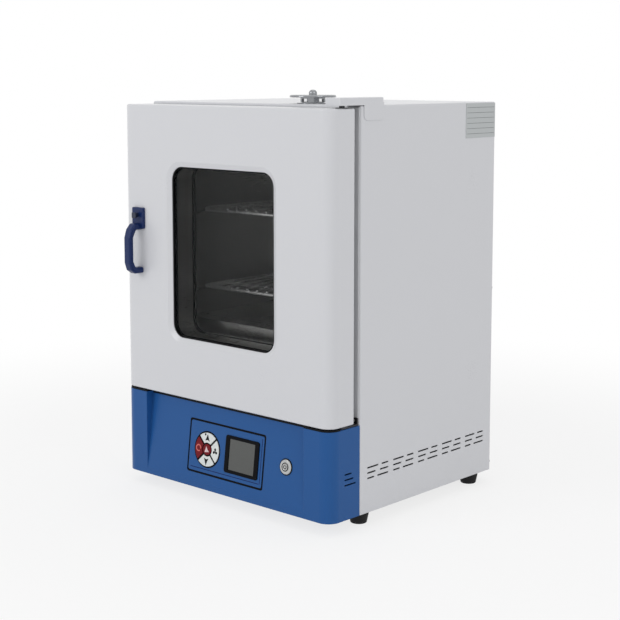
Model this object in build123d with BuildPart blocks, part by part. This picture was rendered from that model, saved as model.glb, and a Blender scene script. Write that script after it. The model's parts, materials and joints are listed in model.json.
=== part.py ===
"""A benchtop laboratory drying oven: a painted steel cabinet with a stainless chamber, a
side-hinged insulated door with a window and a push-button latch, a blue control fascia and
a rotary vent on top.

Frame: millimetres, +Z up, -Y towards the user, origin on the floor under the middle of the oven.
"""

from build123d import *
from math import atan, cos, degrees, radians, sin, sqrt
import os

os.makedirs("parts", exist_ok=True)

# ---------------------------------------------------------------- driving dimensions
body_width = 446.0          # cabinet, side to side
body_height = 600.0         # cabinet without its feet
body_depth = 330.0          # cabinet, front edge to rear edge
front_zone = 66.0           # how far the door and fascia stand in front of the cabinet
foot_height = 20.0
sheet = 1.2                 # painted steel sheet
bend_radius = 3.0           # outside radius of folded sheet
front_corner_radius = 20.0  # upright front corners of door and fascia
fit_gap = 0.3               # clearance between pieces that move past each other
seat_gap = 0.2              # clearance between pieces that are fastened together

fascia_height = 135.0
fascia_wall = 2.5
recess_half_width = 172.0   # the sloping face is sunk between these two cheeks
recess_depth = 15.0         # how far its top edge is sunk
recess_foot = 9.0           # where the slope runs out, above the cabinet's bottom edge

door_gap = 4.0              # above and below the door
door_thickness = 52.0
glass_thickness = 4.0
window_width = 220.0
window_height = 268.0
window_radius = 22.0
window_bevel = 8.0          # width of the pressed bevel round the window
window_bevel_depth = 4.0
seal_lip = 2.5              # how far the rubber shows inside the window edge
seal_thickness = 7.0

side_wall = 65.0            # chamber to the cabinet's side
top_wall = 55.0             # chamber to the cabinet's top
chamber_depth = 260.0
chamber_radius = 10.0
liner_wall = 1.0
chamber_floor_above_divider = 50.0
liner_flange = 12.0

strike_width = 22.0         # latch strike plate, between the chamber's flange and the door seal
strike_margin = 1.0         # strike plate to flange
gasket_inset = 9.0          # from the door's edge
gasket_margin = 2.0         # seal to strike plate

hinge_pin_radius = 4.0
hinge_clearance = 0.05
hinge_inset = 10.0          # pin axis from the cabinet's side
hinge_forward = 30.0        # pin axis in front of the cabinet's edge

handle_reach = 28.0
handle_width = 14.6

# ---------------------------------------------------------------- derived places
half_width = body_width / 2
chamber_width = body_width - 2 * side_wall
half_chamber = chamber_width / 2
flange_reach = half_chamber + liner_wall + liner_flange
latch_x = -(flange_reach + strike_margin + strike_width / 2)
gasket_width = (
    half_width - gasket_inset - gasket_margin - strike_width - strike_margin - flange_reach
)
y_rear = (handle_reach + front_zone + body_depth) / 2
y_body = y_rear - body_depth
y_face = y_body - front_zone
y_door_back = y_face + door_thickness
y_body_mid = (y_body + y_rear) / 2
z_bottom = foot_height
z_top = foot_height + body_height
z_fascia_top = z_bottom + fascia_height
z_door_bottom = z_fascia_top + door_gap
z_door_top = z_top - door_gap
door_height = z_door_top - z_door_bottom
z_window = (z_door_bottom + z_door_top) / 2
z_divider = z_fascia_top + 10
z_chamber_floor = z_divider + chamber_floor_above_divider
z_chamber_top = z_top - top_wall
chamber_height = z_chamber_top - z_chamber_floor
z_chamber = (z_chamber_floor + z_chamber_top) / 2
y_chamber_rear = y_body + chamber_depth
frame_sheet = sheet
y_frame_face = y_body - frame_sheet


def front_plane(y):
    """A sketch plane at depth y that faces the user: x to the right, y up."""
    return Plane.XZ.offset(-y)


def save(part, name):
    part.label = name
    export_step(part, f"parts/{name}.step")


# ---------------------------------------------------------------- cabinet shell
shell_front_return = 32.0
shell_rear_return = 14.0
slot_height = 2.4
slot_row_pitch = 8.0
slot_top_row = 68.0         # above the cabinet's bottom edge
slot_group_pitch = 60.5
slot_group_width = 49.0
slot_group_count = 5
slot_first_group = 17.5     # from the cabinet's front edge
slot_lengths = ((25.7, 16.0), (19.6, 19.6), (16.0, 25.7))
vent_hole_radius = 18.5
vent_x = 94.0
vent_y = y_body + 40.0
inner_width = body_width - 2 * sheet
inner_depth = body_depth - 2 * sheet

with BuildPart() as cabinet_shell:
    with BuildSketch(Plane.XY.offset(z_bottom)):
        with Locations((0, y_body_mid)):
            Rectangle(body_width, body_depth)
    extrude(amount=body_height)
    upright_edges = cabinet_shell.edges().filter_by(Axis.Z)
    top_edges = cabinet_shell.faces().sort_by(Axis.Z)[-1].edges()
    fillet(upright_edges + top_edges, radius=bend_radius)
    with BuildPart(mode=Mode.PRIVATE) as shell_hollow:
        with BuildSketch(Plane.XY.offset(z_bottom - sheet)):
            with Locations((0, y_body_mid)):
                Rectangle(inner_width, inner_depth)
        extrude(amount=body_height)
        fillet(
            shell_hollow.edges().filter_by(Axis.Z)
            + shell_hollow.faces().sort_by(Axis.Z)[-1].edges(),
            radius=bend_radius - sheet,
        )
    add(shell_hollow.part, mode=Mode.SUBTRACT)
    # front and rear openings inside the return flanges, both open at the bottom
    with BuildSketch(front_plane(y_body + sheet)):
        with Locations((0, z_bottom + (body_height - shell_front_return) / 2)):
            Rectangle(body_width - 2 * shell_front_return, body_height - shell_front_return)
    extrude(amount=2 * sheet, mode=Mode.SUBTRACT)
    with BuildSketch(front_plane(y_rear + sheet)):
        with Locations((0, z_bottom + (body_height - shell_rear_return) / 2)):
            Rectangle(body_width - 2 * shell_rear_return, body_height - shell_rear_return)
    extrude(amount=3 * sheet, mode=Mode.SUBTRACT)
    # the front flange is cut away behind the fascia, which closes the lower front
    with BuildSketch(front_plane(y_body + sheet)):
        with Locations((0, z_bottom + (fascia_height - sheet) / 2)):
            Rectangle(inner_width, fascia_height - sheet)
    extrude(amount=2 * sheet, mode=Mode.SUBTRACT)
    # cooling slots through both sides
    with BuildSketch(Plane.YZ.offset(-half_width - 1)):
        for group in range(slot_group_count):
            group_start = y_body + slot_first_group + group * slot_group_pitch
            for row, (front_length, rear_length) in enumerate(slot_lengths):
                slot_z = z_bottom + slot_top_row - row * slot_row_pitch
                with Locations((group_start + front_length / 2, slot_z)):
                    SlotOverall(front_length, slot_height)
                with Locations((group_start + slot_group_width - rear_length / 2, slot_z)):
                    SlotOverall(rear_length, slot_height)
    extrude(amount=body_width + 2, mode=Mode.SUBTRACT)
    # vent tube hole in the top
    with BuildSketch(Plane.XY.offset(z_top)):
        with Locations((vent_x, vent_y)):
            Circle(vent_hole_radius)
    extrude(amount=-3 * sheet, mode=Mode.SUBTRACT)
save(cabinet_shell.part, "cabinet_shell")

# ---------------------------------------------------------------- front frame
frame_edge_inset = 3.0
latch_pivot_z = 413.0
strike_window_width = 18.0
strike_window_height = 32.0
strike_window_z = latch_pivot_z - 1.0
z_frame_bottom = z_fascia_top + 1.0
z_frame_top = z_top - frame_edge_inset
liner_outer_width = chamber_width + 2 * liner_wall
liner_outer_height = chamber_height + 2 * liner_wall

with BuildPart() as front_frame:
    with BuildSketch(front_plane(y_body)):
        with Locations((0, (z_frame_bottom + z_frame_top) / 2)):
            Rectangle(body_width - 2 * frame_edge_inset, z_frame_top - z_frame_bottom)
        with Locations((0, z_chamber)):
            RectangleRounded(
                liner_outer_width + 2 * seat_gap,
                liner_outer_height + 2 * seat_gap,
                chamber_radius + liner_wall + seat_gap,
                mode=Mode.SUBTRACT,
            )
        with Locations((latch_x, strike_window_z)):
            Rectangle(strike_window_width, strike_window_height, mode=Mode.SUBTRACT)
    extrude(amount=frame_sheet)
save(front_frame.part, "front_frame")

# ---------------------------------------------------------------- chamber liner
probe_radius = 3.0
probe_setback = 80.0        # from the chamber's rear
probe_y = y_chamber_rear - probe_setback
probe_z = z_chamber_top - 60.0
heater_radius = 4.0
heater_leg_x = 112.0
heater_z = z_chamber_floor + 24.0

with BuildPart() as chamber_liner:
    with BuildSketch(front_plane(y_chamber_rear + liner_wall)):
        with Locations((0, z_chamber)):
            RectangleRounded(liner_outer_width, liner_outer_height, chamber_radius + liner_wall)
    extrude(amount=chamber_depth + liner_wall + frame_sheet)
    # flange that laps over the front frame
    with BuildSketch(front_plane(y_frame_face)):
        with Locations((0, z_chamber)):
            RectangleRounded(
                liner_outer_width + 2 * liner_flange,
                liner_outer_height + 2 * liner_flange,
                chamber_radius + liner_flange,
            )
    extrude(amount=liner_wall)
    with BuildSketch(front_plane(y_chamber_rear)):
        with Locations((0, z_chamber)):
            RectangleRounded(chamber_width, chamber_height, chamber_radius)
    extrude(amount=chamber_depth + 4 * sheet, mode=Mode.SUBTRACT)
    with BuildSketch(Plane.XY.offset(z_chamber_top + 2 * liner_wall)):
        with Locations((vent_x, vent_y)):
            Circle(vent_hole_radius)
    extrude(amount=-4 * liner_wall, mode=Mode.SUBTRACT)
    with BuildSketch(front_plane(y_chamber_rear + 2 * liner_wall)):
        with Locations((-heater_leg_x, heater_z), (heater_leg_x, heater_z)):
            Circle(heater_radius + seat_gap)
    extrude(amount=4 * liner_wall, mode=Mode.SUBTRACT)
    with BuildSketch(Plane.YZ.offset(half_chamber + 2 * liner_wall)):
        with Locations((probe_y, probe_z)):
            Circle(probe_radius + seat_gap)
    extrude(amount=-4 * liner_wall, mode=Mode.SUBTRACT)
save(chamber_liner.part, "chamber_liner")

# ---------------------------------------------------------------- divider, base pan, rear panel
pan_flange = 12.0
divider_depth = body_depth - 4 * sheet
plate_gap = 0.8             # insulation to sheet

with BuildPart() as divider_plate:
    with BuildSketch(Plane.XY.offset(z_divider)):
        with Locations((0, y_body_mid)):
            Rectangle(inner_width - 2 * seat_gap, divider_depth)
    extrude(amount=sheet)
    with BuildSketch(Plane.XY.offset(z_divider)):
        for side in (-1, 1):
            with Locations((side * (inner_width / 2 - seat_gap - sheet / 2), y_body_mid)):
                Rectangle(sheet, divider_depth)
    extrude(amount=-pan_flange)
save(divider_plate.part, "divider_plate")

foot_side_inset = 22.0
foot_front_inset = 24.0
foot_rear_inset = 30.0
foot_screw_radius = 2.5
foot_places = [
    (side * (half_width - foot_side_inset), y)
    for side in (-1, 1)
    for y in (y_body + foot_front_inset, y_rear - foot_rear_inset)
]
base_vent_count = 7

with BuildPart() as base_pan:
    with BuildSketch(Plane.XY.offset(z_bottom)):
        with Locations((0, y_body_mid)):
            Rectangle(inner_width - 2 * seat_gap, divider_depth)
        with Locations(*foot_places):
            Circle(foot_screw_radius + seat_gap, mode=Mode.SUBTRACT)
        with Locations((0, y_body_mid)):
            with GridLocations(24, 60, base_vent_count, 2):
                SlotOverall(44, 4, rotation=90, mode=Mode.SUBTRACT)
    extrude(amount=sheet)
    with BuildSketch(Plane.XY.offset(z_bottom)):
        for side in (-1, 1):
            with Locations((side * (inner_width / 2 - seat_gap - sheet / 2), y_body_mid)):
                Rectangle(sheet, divider_depth)
    extrude(amount=pan_flange)
save(base_pan.part, "base_pan")

rear_panel_margin = 3.0
rear_screw_radius = 2.0
rear_screw_inset = 7.0
rear_screw_rows = (z_bottom + 12, z_bottom + body_height / 2, z_top - rear_screw_inset)
rear_screw_places = [
    (side * (half_width - rear_screw_inset), z) for side in (-1, 1) for z in rear_screw_rows
]
y_panel = y_rear + sheet    # outside of the rear panel
inlet_side_inset = 83.0
inlet_x = half_width - inlet_side_inset
inlet_z = z_bottom + 48.0
inlet_width = 27.0
inlet_height = 20.0
fuse_pitch = 44.0           # inlet to fuse holder
fuse_x = inlet_x - fuse_pitch
fuse_radius = 6.5

with BuildPart() as rear_panel:
    with BuildSketch(front_plane(y_rear + sheet)):
        with Locations((0, z_bottom + body_height / 2)):
            RectangleRounded(
                body_width - 2 * rear_panel_margin, body_height - 2 * rear_panel_margin, 3
            )
        with Locations(*rear_screw_places):
            Circle(rear_screw_radius + seat_gap, mode=Mode.SUBTRACT)
        with Locations((inlet_x, inlet_z)):
            Rectangle(inlet_width + 2 * seat_gap, inlet_height + 2 * seat_gap, mode=Mode.SUBTRACT)
        with Locations((fuse_x, inlet_z)):
            Circle(fuse_radius + seat_gap, mode=Mode.SUBTRACT)
        # louvre slots across the electronics bay
        with Locations((-90, z_bottom + 62)):
            with GridLocations(46, 9, 4, 4):
                SlotOverall(38, 3, mode=Mode.SUBTRACT)
    extrude(amount=sheet)
save(rear_panel.part, "rear_panel")

rear_screw_head_radius = 3.8
rear_screw_head = 2.2
foot_top_radius = 15.0
foot_bore_depth = 11.0
foot_bore_radius = 6.0

with BuildPart() as rubber_feet:
    with BuildSketch(Plane.XY.offset(z_bottom)):
        with Locations(*foot_places):
            Circle(foot_top_radius)
    extrude(amount=-foot_height * 0.35)
    with BuildSketch(Plane.XY.offset(z_bottom - foot_height * 0.35)):
        with Locations(*foot_places):
            Circle(foot_top_radius)
    extrude(amount=-foot_height * 0.65, taper=12)
    foot_rims = rubber_feet.faces().sort_by(Axis.Z)[:4].edges()
    fillet(foot_rims, radius=1.5)
    with Locations(Plane.XY):
        with Locations(*foot_places):
            Hole(foot_bore_radius, depth=foot_bore_depth)
    with BuildSketch(Plane.XY.offset(z_bottom)):
        with Locations(*foot_places):
            Circle(foot_screw_radius + seat_gap)
    extrude(amount=-foot_height, mode=Mode.SUBTRACT)
save(rubber_feet.part, "rubber_feet")

with BuildPart() as cabinet_screws:
    # one screw up through each foot into the base pan
    with BuildSketch(Plane.XY.offset(foot_bore_depth)):
        with Locations(*foot_places):
            Circle(foot_bore_radius - 1)
    extrude(amount=-3)
    with BuildSketch(Plane.XY.offset(foot_bore_depth)):
        with Locations(*foot_places):
            Circle(foot_screw_radius)
    extrude(amount=z_bottom - foot_bore_depth + 6)
    # pan-head screws round the rear panel
    with BuildSketch(front_plane(y_rear + sheet)):
        with Locations(*rear_screw_places):
            Circle(rear_screw_head_radius)
    extrude(amount=-rear_screw_head)
    with BuildSketch(front_plane(y_rear + sheet)):
        with Locations(*rear_screw_places):
            Circle(rear_screw_radius)
    extrude(amount=sheet)
save(cabinet_screws.part, "cabinet_screws")

# ---------------------------------------------------------------- chamber furniture
rail_width = 14.0           # along the depth
rail_depth = 8.0            # out from the wall
rail_slot_height = 24.0
rail_slot_count = 6
rail_first_slot = 110.4     # centre of the lower shelf's slot above the chamber floor
rail_last_slot = 29.6       # centre of the top slot below the chamber's top
rail_front_inset = 24.0
rail_rear_inset = 34.0
rail_foot = 74.0            # above the chamber floor
rail_head = 12.0            # below the chamber's top
rail_first_slot_z = z_chamber_floor + rail_first_slot
rail_slot_pitch = (z_chamber_top - rail_last_slot - rail_first_slot_z) / (rail_slot_count - 1)
rail_front_y = y_body + rail_front_inset
rail_rear_y = y_chamber_rear - rail_rear_inset
rail_bottom = z_chamber_floor + rail_foot
rail_top = z_chamber_top - rail_head
rail_slot_centre = rail_first_slot_z + (rail_slot_count - 1) * rail_slot_pitch / 2


def shelf_rail(side, y):
    """A slotted channel that stands against one side wall."""
    wall_x = side * half_chamber
    with BuildPart() as rail:
        with BuildSketch(Plane.XY.offset(rail_bottom)):
            with Locations((wall_x - side * rail_depth / 2, y)):
                Rectangle(rail_depth, rail_width)
            with Locations((wall_x - side * (rail_depth - liner_wall) / 2, y)):
                Rectangle(
                    rail_depth - liner_wall, rail_width - 2 * liner_wall, mode=Mode.SUBTRACT
                )
        extrude(amount=rail_top - rail_bottom)
        with BuildSketch(Plane.YZ.offset(wall_x - side * (rail_depth + 1))):
            with Locations((y, rail_slot_centre)):
                with GridLocations(rail_slot_pitch, rail_slot_pitch, 1, rail_slot_count):
                    Rectangle(5, rail_slot_height)
        extrude(amount=side * 3, mode=Mode.SUBTRACT)
    return rail.part


for rail_name, rail_side, rail_y in (
    ("front_left", -1, rail_front_y),
    ("rear_left", -1, rail_rear_y),
    ("front_right", 1, rail_front_y),
    ("rear_right", 1, rail_rear_y),
):
    save(shelf_rail(rail_side, rail_y), f"shelf_rail_{rail_name}")

shelf_rod_radius = 3.0
shelf_wire_radius = 1.6
shelf_wire_count = 13
shelf_wire_margin = 12.0    # outer wires from the side rods
shelf_side_gap = 6.0        # shelf frame to rail
shelf_front_inset = 38.0
shelf_rear_inset = 12.0
shelf_half_width = half_chamber - rail_depth - shelf_side_gap
shelf_wire_pitch = 2 * (shelf_half_width - shelf_wire_margin) / (shelf_wire_count - 1)
shelf_front_y = y_body + shelf_front_inset
shelf_rear_y = y_chamber_rear - shelf_rear_inset
shelf_fit = 0.1             # shelf rods above their clips
clip_width = 4.4
clip_thickness = 3.0
clip_reach = 12.0
clip_length = 28.0          # front clips run backwards, rear clips forwards
lower_shelf_z = (
    rail_first_slot_z - rail_slot_height / 2 + clip_thickness + shelf_fit + shelf_rod_radius
)
shelf_heights = (lower_shelf_z, lower_shelf_z + 3 * rail_slot_pitch)

with BuildPart() as shelf_clips:
    for shelf_z in shelf_heights:
        clip_top = shelf_z - shelf_rod_radius - shelf_fit
        for clip_y, run in ((rail_front_y, 1), (rail_rear_y, -1)):
            # a tongue that runs along under the shelf's side rod
            with BuildSketch(Plane.XY.offset(clip_top)):
                for side in (-1, 1):
                    rail_face = side * (half_chamber - rail_depth)
                    clip_middle_y = clip_y + run * (clip_length - clip_width) / 2
                    with Locations((rail_face - side * clip_reach / 2, clip_middle_y)):
                        Rectangle(clip_reach, clip_length)
            extrude(amount=-clip_thickness)
            # the hooked tail that stands up inside the rail
            with BuildSketch(front_plane(clip_y + clip_width / 2)):
                for side in (-1, 1):
                    rail_face = side * (half_chamber - rail_depth)
                    with Locations((rail_face + side * 1.5, clip_top + 1)):
                        Rectangle(3.0, clip_thickness * 2 + 2)
            extrude(amount=clip_width)
save(shelf_clips.part, "shelf_clips")


def wire_shelf(z):
    """A welded wire shelf: a rod frame with cross wires that lap over its front rod."""
    shelf_middle_y = (shelf_front_y + shelf_rear_y) / 2
    wire_z = z + shelf_rod_radius + shelf_wire_radius - 0.4
    with BuildPart() as shelf:
        with BuildLine():
            frame_path = FilletPolyline(
                (-shelf_half_width, shelf_front_y, z),
                (shelf_half_width, shelf_front_y, z),
                (shelf_half_width, shelf_rear_y, z),
                (-shelf_half_width, shelf_rear_y, z),
                close=True,
                radius=9,
            )
        with BuildSketch(Plane(origin=frame_path @ 0, z_dir=frame_path % 0)):
            Circle(shelf_rod_radius)
        sweep(path=frame_path)
        with BuildSketch(front_plane(shelf_rear_y + 2)):
            with Locations((0, wire_z)):
                with GridLocations(shelf_wire_pitch, 1, shelf_wire_count, 1):
                    Circle(shelf_wire_radius)
        extrude(amount=shelf_rear_y - shelf_front_y + 5)
        # two stiffening rods under the cross wires
        for rod_y in (shelf_middle_y - 60, shelf_middle_y + 60):
            with BuildSketch(Plane.YZ.offset(-shelf_half_width)):
                with Locations((rod_y, z)):
                    Circle(shelf_rod_radius - 0.4)
            extrude(amount=2 * shelf_half_width)
    return shelf.part


save(wire_shelf(shelf_heights[0]), "shelf_lower")
save(wire_shelf(shelf_heights[1]), "shelf_upper")

cover_height = 57.0
cover_front_inset = 10.0
cover_side_gap = 3.0
cover_rear_gap = 10.0
cover_leg_inset = 10.0
cover_hole_pitch = 20.0
cover_row_inset = 28.0      # slot rows from the front and rear edges
cover_column_inset = 30.0   # hole columns from the sides
cover_top = z_chamber_floor + cover_height
cover_front_y = y_body + cover_front_inset
cover_rear_y = y_chamber_rear - cover_rear_gap
cover_half_width = half_chamber - cover_side_gap
cover_depth = cover_rear_y - cover_front_y

with BuildPart() as heater_cover:
    with BuildSketch(Plane.XY.offset(cover_top)):
        with Locations((0, (cover_front_y + cover_rear_y) / 2)):
            Rectangle(2 * cover_half_width, cover_depth)
            with GridLocations(cover_hole_pitch, cover_depth - 2 * cover_row_inset, 13, 2):
                SlotOverall(14, 5, mode=Mode.SUBTRACT)
            with GridLocations(2 * (cover_half_width - cover_column_inset), cover_hole_pitch, 2, 7):
                Circle(3.5, mode=Mode.SUBTRACT)
    extrude(amount=-liner_wall)
    # turned-down front apron and side legs that stand on the chamber floor
    with BuildSketch(front_plane(cover_front_y)):
        with Locations((0, (cover_top + z_chamber_floor) / 2)):
            Rectangle(2 * (cover_half_width - cover_leg_inset), cover_height)
        with Locations((0, z_chamber_floor + 12)):
            with GridLocations(36, 1, 8, 1):
                SlotOverall(26, 5, mode=Mode.SUBTRACT)
    extrude(amount=-liner_wall)
    with BuildSketch(Plane.YZ.offset(cover_leg_inset - cover_half_width)):
        with Locations(((cover_front_y + cover_rear_y) / 2, (cover_top + z_chamber_floor) / 2)):
            Rectangle(cover_depth - 30, cover_height)
    extrude(amount=liner_wall)
    mirror(about=Plane.YZ)
save(heater_cover.part, "heater_cover")

heater_front_y = y_body + 50.0
heater_end_y = y_chamber_rear + 34.0
heater_turn_y = y_chamber_rear - 40.0

with BuildPart() as heating_element:
    with BuildLine():
        heater_path = FilletPolyline(
            (-heater_leg_x, heater_end_y, heater_z),
            (-heater_leg_x, heater_front_y, heater_z),
            (-heater_leg_x / 3, heater_front_y, heater_z),
            (-heater_leg_x / 3, heater_turn_y, heater_z),
            (heater_leg_x / 3, heater_turn_y, heater_z),
            (heater_leg_x / 3, heater_front_y, heater_z),
            (heater_leg_x, heater_front_y, heater_z),
            (heater_leg_x, heater_end_y, heater_z),
            radius=20,
        )
    with BuildSketch(Plane(origin=heater_path @ 0, z_dir=heater_path % 0)):
        Circle(heater_radius)
    sweep(path=heater_path)
    # hexagon nut and washer that clamp each leg to the chamber's back
    with BuildSketch(front_plane(y_chamber_rear + liner_wall)):
        with Locations((-heater_leg_x, heater_z), (heater_leg_x, heater_z)):
            RegularPolygon(9, 6)
    extrude(amount=-6)
    with BuildSketch(front_plane(y_chamber_rear)):
        with Locations((-heater_leg_x, heater_z), (heater_leg_x, heater_z)):
            Circle(8)
    extrude(amount=2)
save(heating_element.part, "heating_element")

probe_reach = 42.0
probe_tail = 30.0

with BuildPart() as temperature_probe:
    with BuildSketch(Plane.YZ.offset(half_chamber - probe_reach)):
        with Locations((probe_y, probe_z)):
            Circle(probe_radius)
    extrude(amount=probe_reach + probe_tail)
    with BuildSketch(Plane.YZ.offset(half_chamber)):
        with Locations((probe_y, probe_z)):
            RegularPolygon(7, 6)
    extrude(amount=-4)
    fillet(temperature_probe.faces().sort_by(Axis.X)[0].edges(), radius=2)
save(temperature_probe.part, "temperature_probe")

insulation_rear_y = y_rear - 4.0
insulation_top = z_top - sheet - plate_gap
insulation_bottom = z_divider + sheet + plate_gap

with BuildPart() as chamber_insulation:
    with BuildSketch(front_plane(insulation_rear_y)):
        with Locations((0, (insulation_top + insulation_bottom) / 2)):
            Rectangle(inner_width - 2 * plate_gap, insulation_top - insulation_bottom)
    extrude(amount=insulation_rear_y - y_body - sheet - plate_gap)
    with BuildSketch(front_plane(y_chamber_rear + liner_wall + plate_gap)):
        with Locations((0, z_chamber)):
            RectangleRounded(
                liner_outer_width + 2 * plate_gap,
                liner_outer_height + 2 * plate_gap,
                chamber_radius + liner_wall + plate_gap,
            )
    extrude(amount=chamber_depth + 20, mode=Mode.SUBTRACT)
    with BuildSketch(Plane.XY.offset(insulation_top)):
        with Locations((vent_x, vent_y)):
            Circle(vent_hole_radius + plate_gap)
    extrude(amount=z_chamber_top - insulation_top, mode=Mode.SUBTRACT)
    with BuildSketch(Plane.YZ.offset(half_chamber)):
        with Locations((probe_y, probe_z)):
            Circle(probe_radius + plate_gap)
    extrude(amount=probe_tail + 6, mode=Mode.SUBTRACT)
    with BuildSketch(front_plane(y_chamber_rear)):
        with Locations((-heater_leg_x, heater_z), (heater_leg_x, heater_z)):
            RegularPolygon(9 + plate_gap, 6)
    extrude(amount=-60, mode=Mode.SUBTRACT)
    # pocket behind the latch opening in the frame
    with BuildSketch(front_plane(y_body)):
        with Locations((latch_x, strike_window_z)):
            Rectangle(strike_window_width + 8, strike_window_height + 24)
    extrude(amount=-30, mode=Mode.SUBTRACT)
save(chamber_insulation.part, "chamber_insulation")

# ---------------------------------------------------------------- vent
vent_tube_radius = 17.0
vent_tube_bore = 14.5
vent_tube_top = z_top + 9.0
vent_flange_radius = 24.0
vent_port_count = 4
vent_port_width = 12.0
vent_port_bottom = z_top + 2.6
vent_port_top = vent_tube_top - 1.6
cap_radius = 35.0
cap_thickness = 3.5
cap_skirt = 1.6
knob_radius = 6.2
knob_height = 7.8

with BuildPart() as vent_tube:
    with BuildSketch(Plane.XY.offset(z_chamber_top - 1)):
        with Locations((vent_x, vent_y)):
            Circle(vent_tube_radius)
    extrude(amount=vent_tube_top - z_chamber_top + 1)
    with BuildSketch(Plane.XY.offset(z_top)):
        with Locations((vent_x, vent_y)):
            Circle(vent_flange_radius)
    extrude(amount=1.2)
    with BuildSketch(Plane.XY.offset(z_chamber_top - 1)):
        with Locations((vent_x, vent_y)):
            Circle(vent_flange_radius - 2)
    extrude(amount=1)
    with BuildSketch(Plane.XY.offset(z_chamber_top - 2)):
        with Locations((vent_x, vent_y)):
            Circle(vent_tube_bore)
    extrude(amount=vent_tube_top - z_chamber_top + 0.4, mode=Mode.SUBTRACT)
    # side ports, with the pivot for the cap above them
    with BuildSketch(Plane.XY.offset(vent_port_bottom)):
        with Locations((vent_x, vent_y)):
            with PolarLocations(vent_tube_radius, vent_port_count):
                Rectangle(3 * cap_skirt + 4, vent_port_width)
    extrude(amount=vent_port_top - vent_port_bottom, mode=Mode.SUBTRACT)
save(vent_tube.part, "vent_tube")

with BuildPart() as vent_cap:
    with BuildSketch(Plane.XY.offset(vent_tube_top + fit_gap)):
        with Locations((vent_x, vent_y)):
            Circle(cap_radius)
    extrude(amount=cap_thickness)
    fillet(vent_cap.faces().sort_by(Axis.Z)[-1].edges(), radius=2.0)
    # skirt round the neck, cut by ports that line up with the tube's
    with BuildSketch(Plane.XY.offset(vent_port_bottom - 0.6)):
        with Locations((vent_x, vent_y)):
            Circle(vent_tube_radius + fit_gap + cap_skirt)
            Circle(vent_tube_radius + fit_gap, mode=Mode.SUBTRACT)
    extrude(amount=vent_tube_top + fit_gap - vent_port_bottom + 0.6)
    with BuildSketch(Plane.XY.offset(vent_port_bottom)):
        with Locations((vent_x, vent_y)):
            with PolarLocations(vent_tube_radius + cap_skirt, vent_port_count):
                Rectangle(3 * cap_skirt + 2, vent_port_width)
    extrude(amount=vent_port_top - vent_port_bottom, mode=Mode.SUBTRACT)
    # domed knob with a short neck
    with BuildSketch(Plane.XY.offset(vent_tube_top + fit_gap + cap_thickness)):
        with Locations((vent_x, vent_y)):
            Circle(knob_radius)
    extrude(amount=knob_height)
    fillet(vent_cap.faces().sort_by(Axis.Z)[-1].edges(), radius=5.2)
save(vent_cap.part, "vent_cap")

# ---------------------------------------------------------------- fascia
recess_slope = recess_depth / (fascia_height - recess_foot)
slope_angle = atan(recess_slope)
slope_start_z = z_bottom + recess_foot
fascia_slot_rows = ((33.5, 16.0), (33.5, 20.0), (33.5, 25.0))
insert_width = 160.0
insert_height = 78.0
insert_x = 3.0
insert_z = z_bottom + 65.0
insert_gap = 3.2            # dark outline left round the insert
insert_thickness = 3.0
switch_x = 131.0
switch_z = z_bottom + 68.0
switch_hole_radius = 9.5


def slope_plane(x, z):
    """A plane on the sloping face: x to the right, y up the slope, z out towards the user."""
    return Plane(
        origin=(x, y_face + (z - slope_start_z) * recess_slope, z),
        x_dir=(1, 0, 0),
        z_dir=(0, -cos(slope_angle), sin(slope_angle)),
    )


def upright_rounded(width, front, rear, radius):
    """A plan outline whose two front corners are rounded."""
    with BuildSketch(mode=Mode.PRIVATE) as plan:
        with Locations((0, (front + rear) / 2)):
            Rectangle(width, rear - front)
        fillet(plan.vertices().group_by(Axis.Y)[0], radius=radius)
    return plan.sketch


def recess_wedge(half, wall):
    """The wedge the sloping face takes out of the fascia, grown inwards by a wall."""
    shift = wall / cos(slope_angle)
    rise = z_fascia_top + 2
    with BuildPart(mode=Mode.PRIVATE) as wedge:
        with BuildSketch(Plane.YZ):
            Polygon(
                (y_face + shift, slope_start_z),
                (y_face + shift + (rise - slope_start_z) * recess_slope, rise),
                (y_face - 5, rise),
                (y_face - 5, slope_start_z - 3),
                (y_face + shift - 3 * recess_slope, slope_start_z - 3),
                align=None,
            )
        extrude(amount=half + wall, both=True)
    return wedge.part


with BuildPart() as control_fascia:
    with BuildSketch(Plane.XY.offset(z_bottom)):
        add(upright_rounded(body_width, y_face, y_body, front_corner_radius))
    extrude(amount=fascia_height)
    with BuildPart(mode=Mode.PRIVATE) as fascia_hollow:
        with BuildSketch(Plane.XY.offset(z_bottom + fascia_wall)):
            add(
                upright_rounded(
                    body_width - 2 * fascia_wall,
                    y_face + fascia_wall,
                    y_body + 1,
                    front_corner_radius - fascia_wall,
                )
            )
        extrude(amount=fascia_height - 2 * fascia_wall)
        add(recess_wedge(recess_half_width, fascia_wall), mode=Mode.SUBTRACT)
    add(recess_wedge(recess_half_width, 0), mode=Mode.SUBTRACT)
    add(fascia_hollow.part, mode=Mode.SUBTRACT)
    with BuildSketch(slope_plane(insert_x, insert_z)):
        RectangleRounded(insert_width + 2 * insert_gap, insert_height + 2 * insert_gap, 4)
    extrude(amount=12, both=True, mode=Mode.SUBTRACT)
    with BuildSketch(slope_plane(switch_x, switch_z)):
        Circle(switch_hole_radius)
    extrude(amount=12, both=True, mode=Mode.SUBTRACT)
    with BuildSketch(Plane.YZ.offset(-half_width - 1)):
        for row, (slot_start, slot_length) in enumerate(fascia_slot_rows):
            slot_z = z_bottom + slot_top_row - row * slot_row_pitch
            with Locations((y_body - slot_start + slot_length / 2, slot_z)):
                SlotOverall(slot_length, slot_height)
    extrude(amount=body_width + 2, mode=Mode.SUBTRACT)
save(control_fascia.part, "control_fascia")

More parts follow.
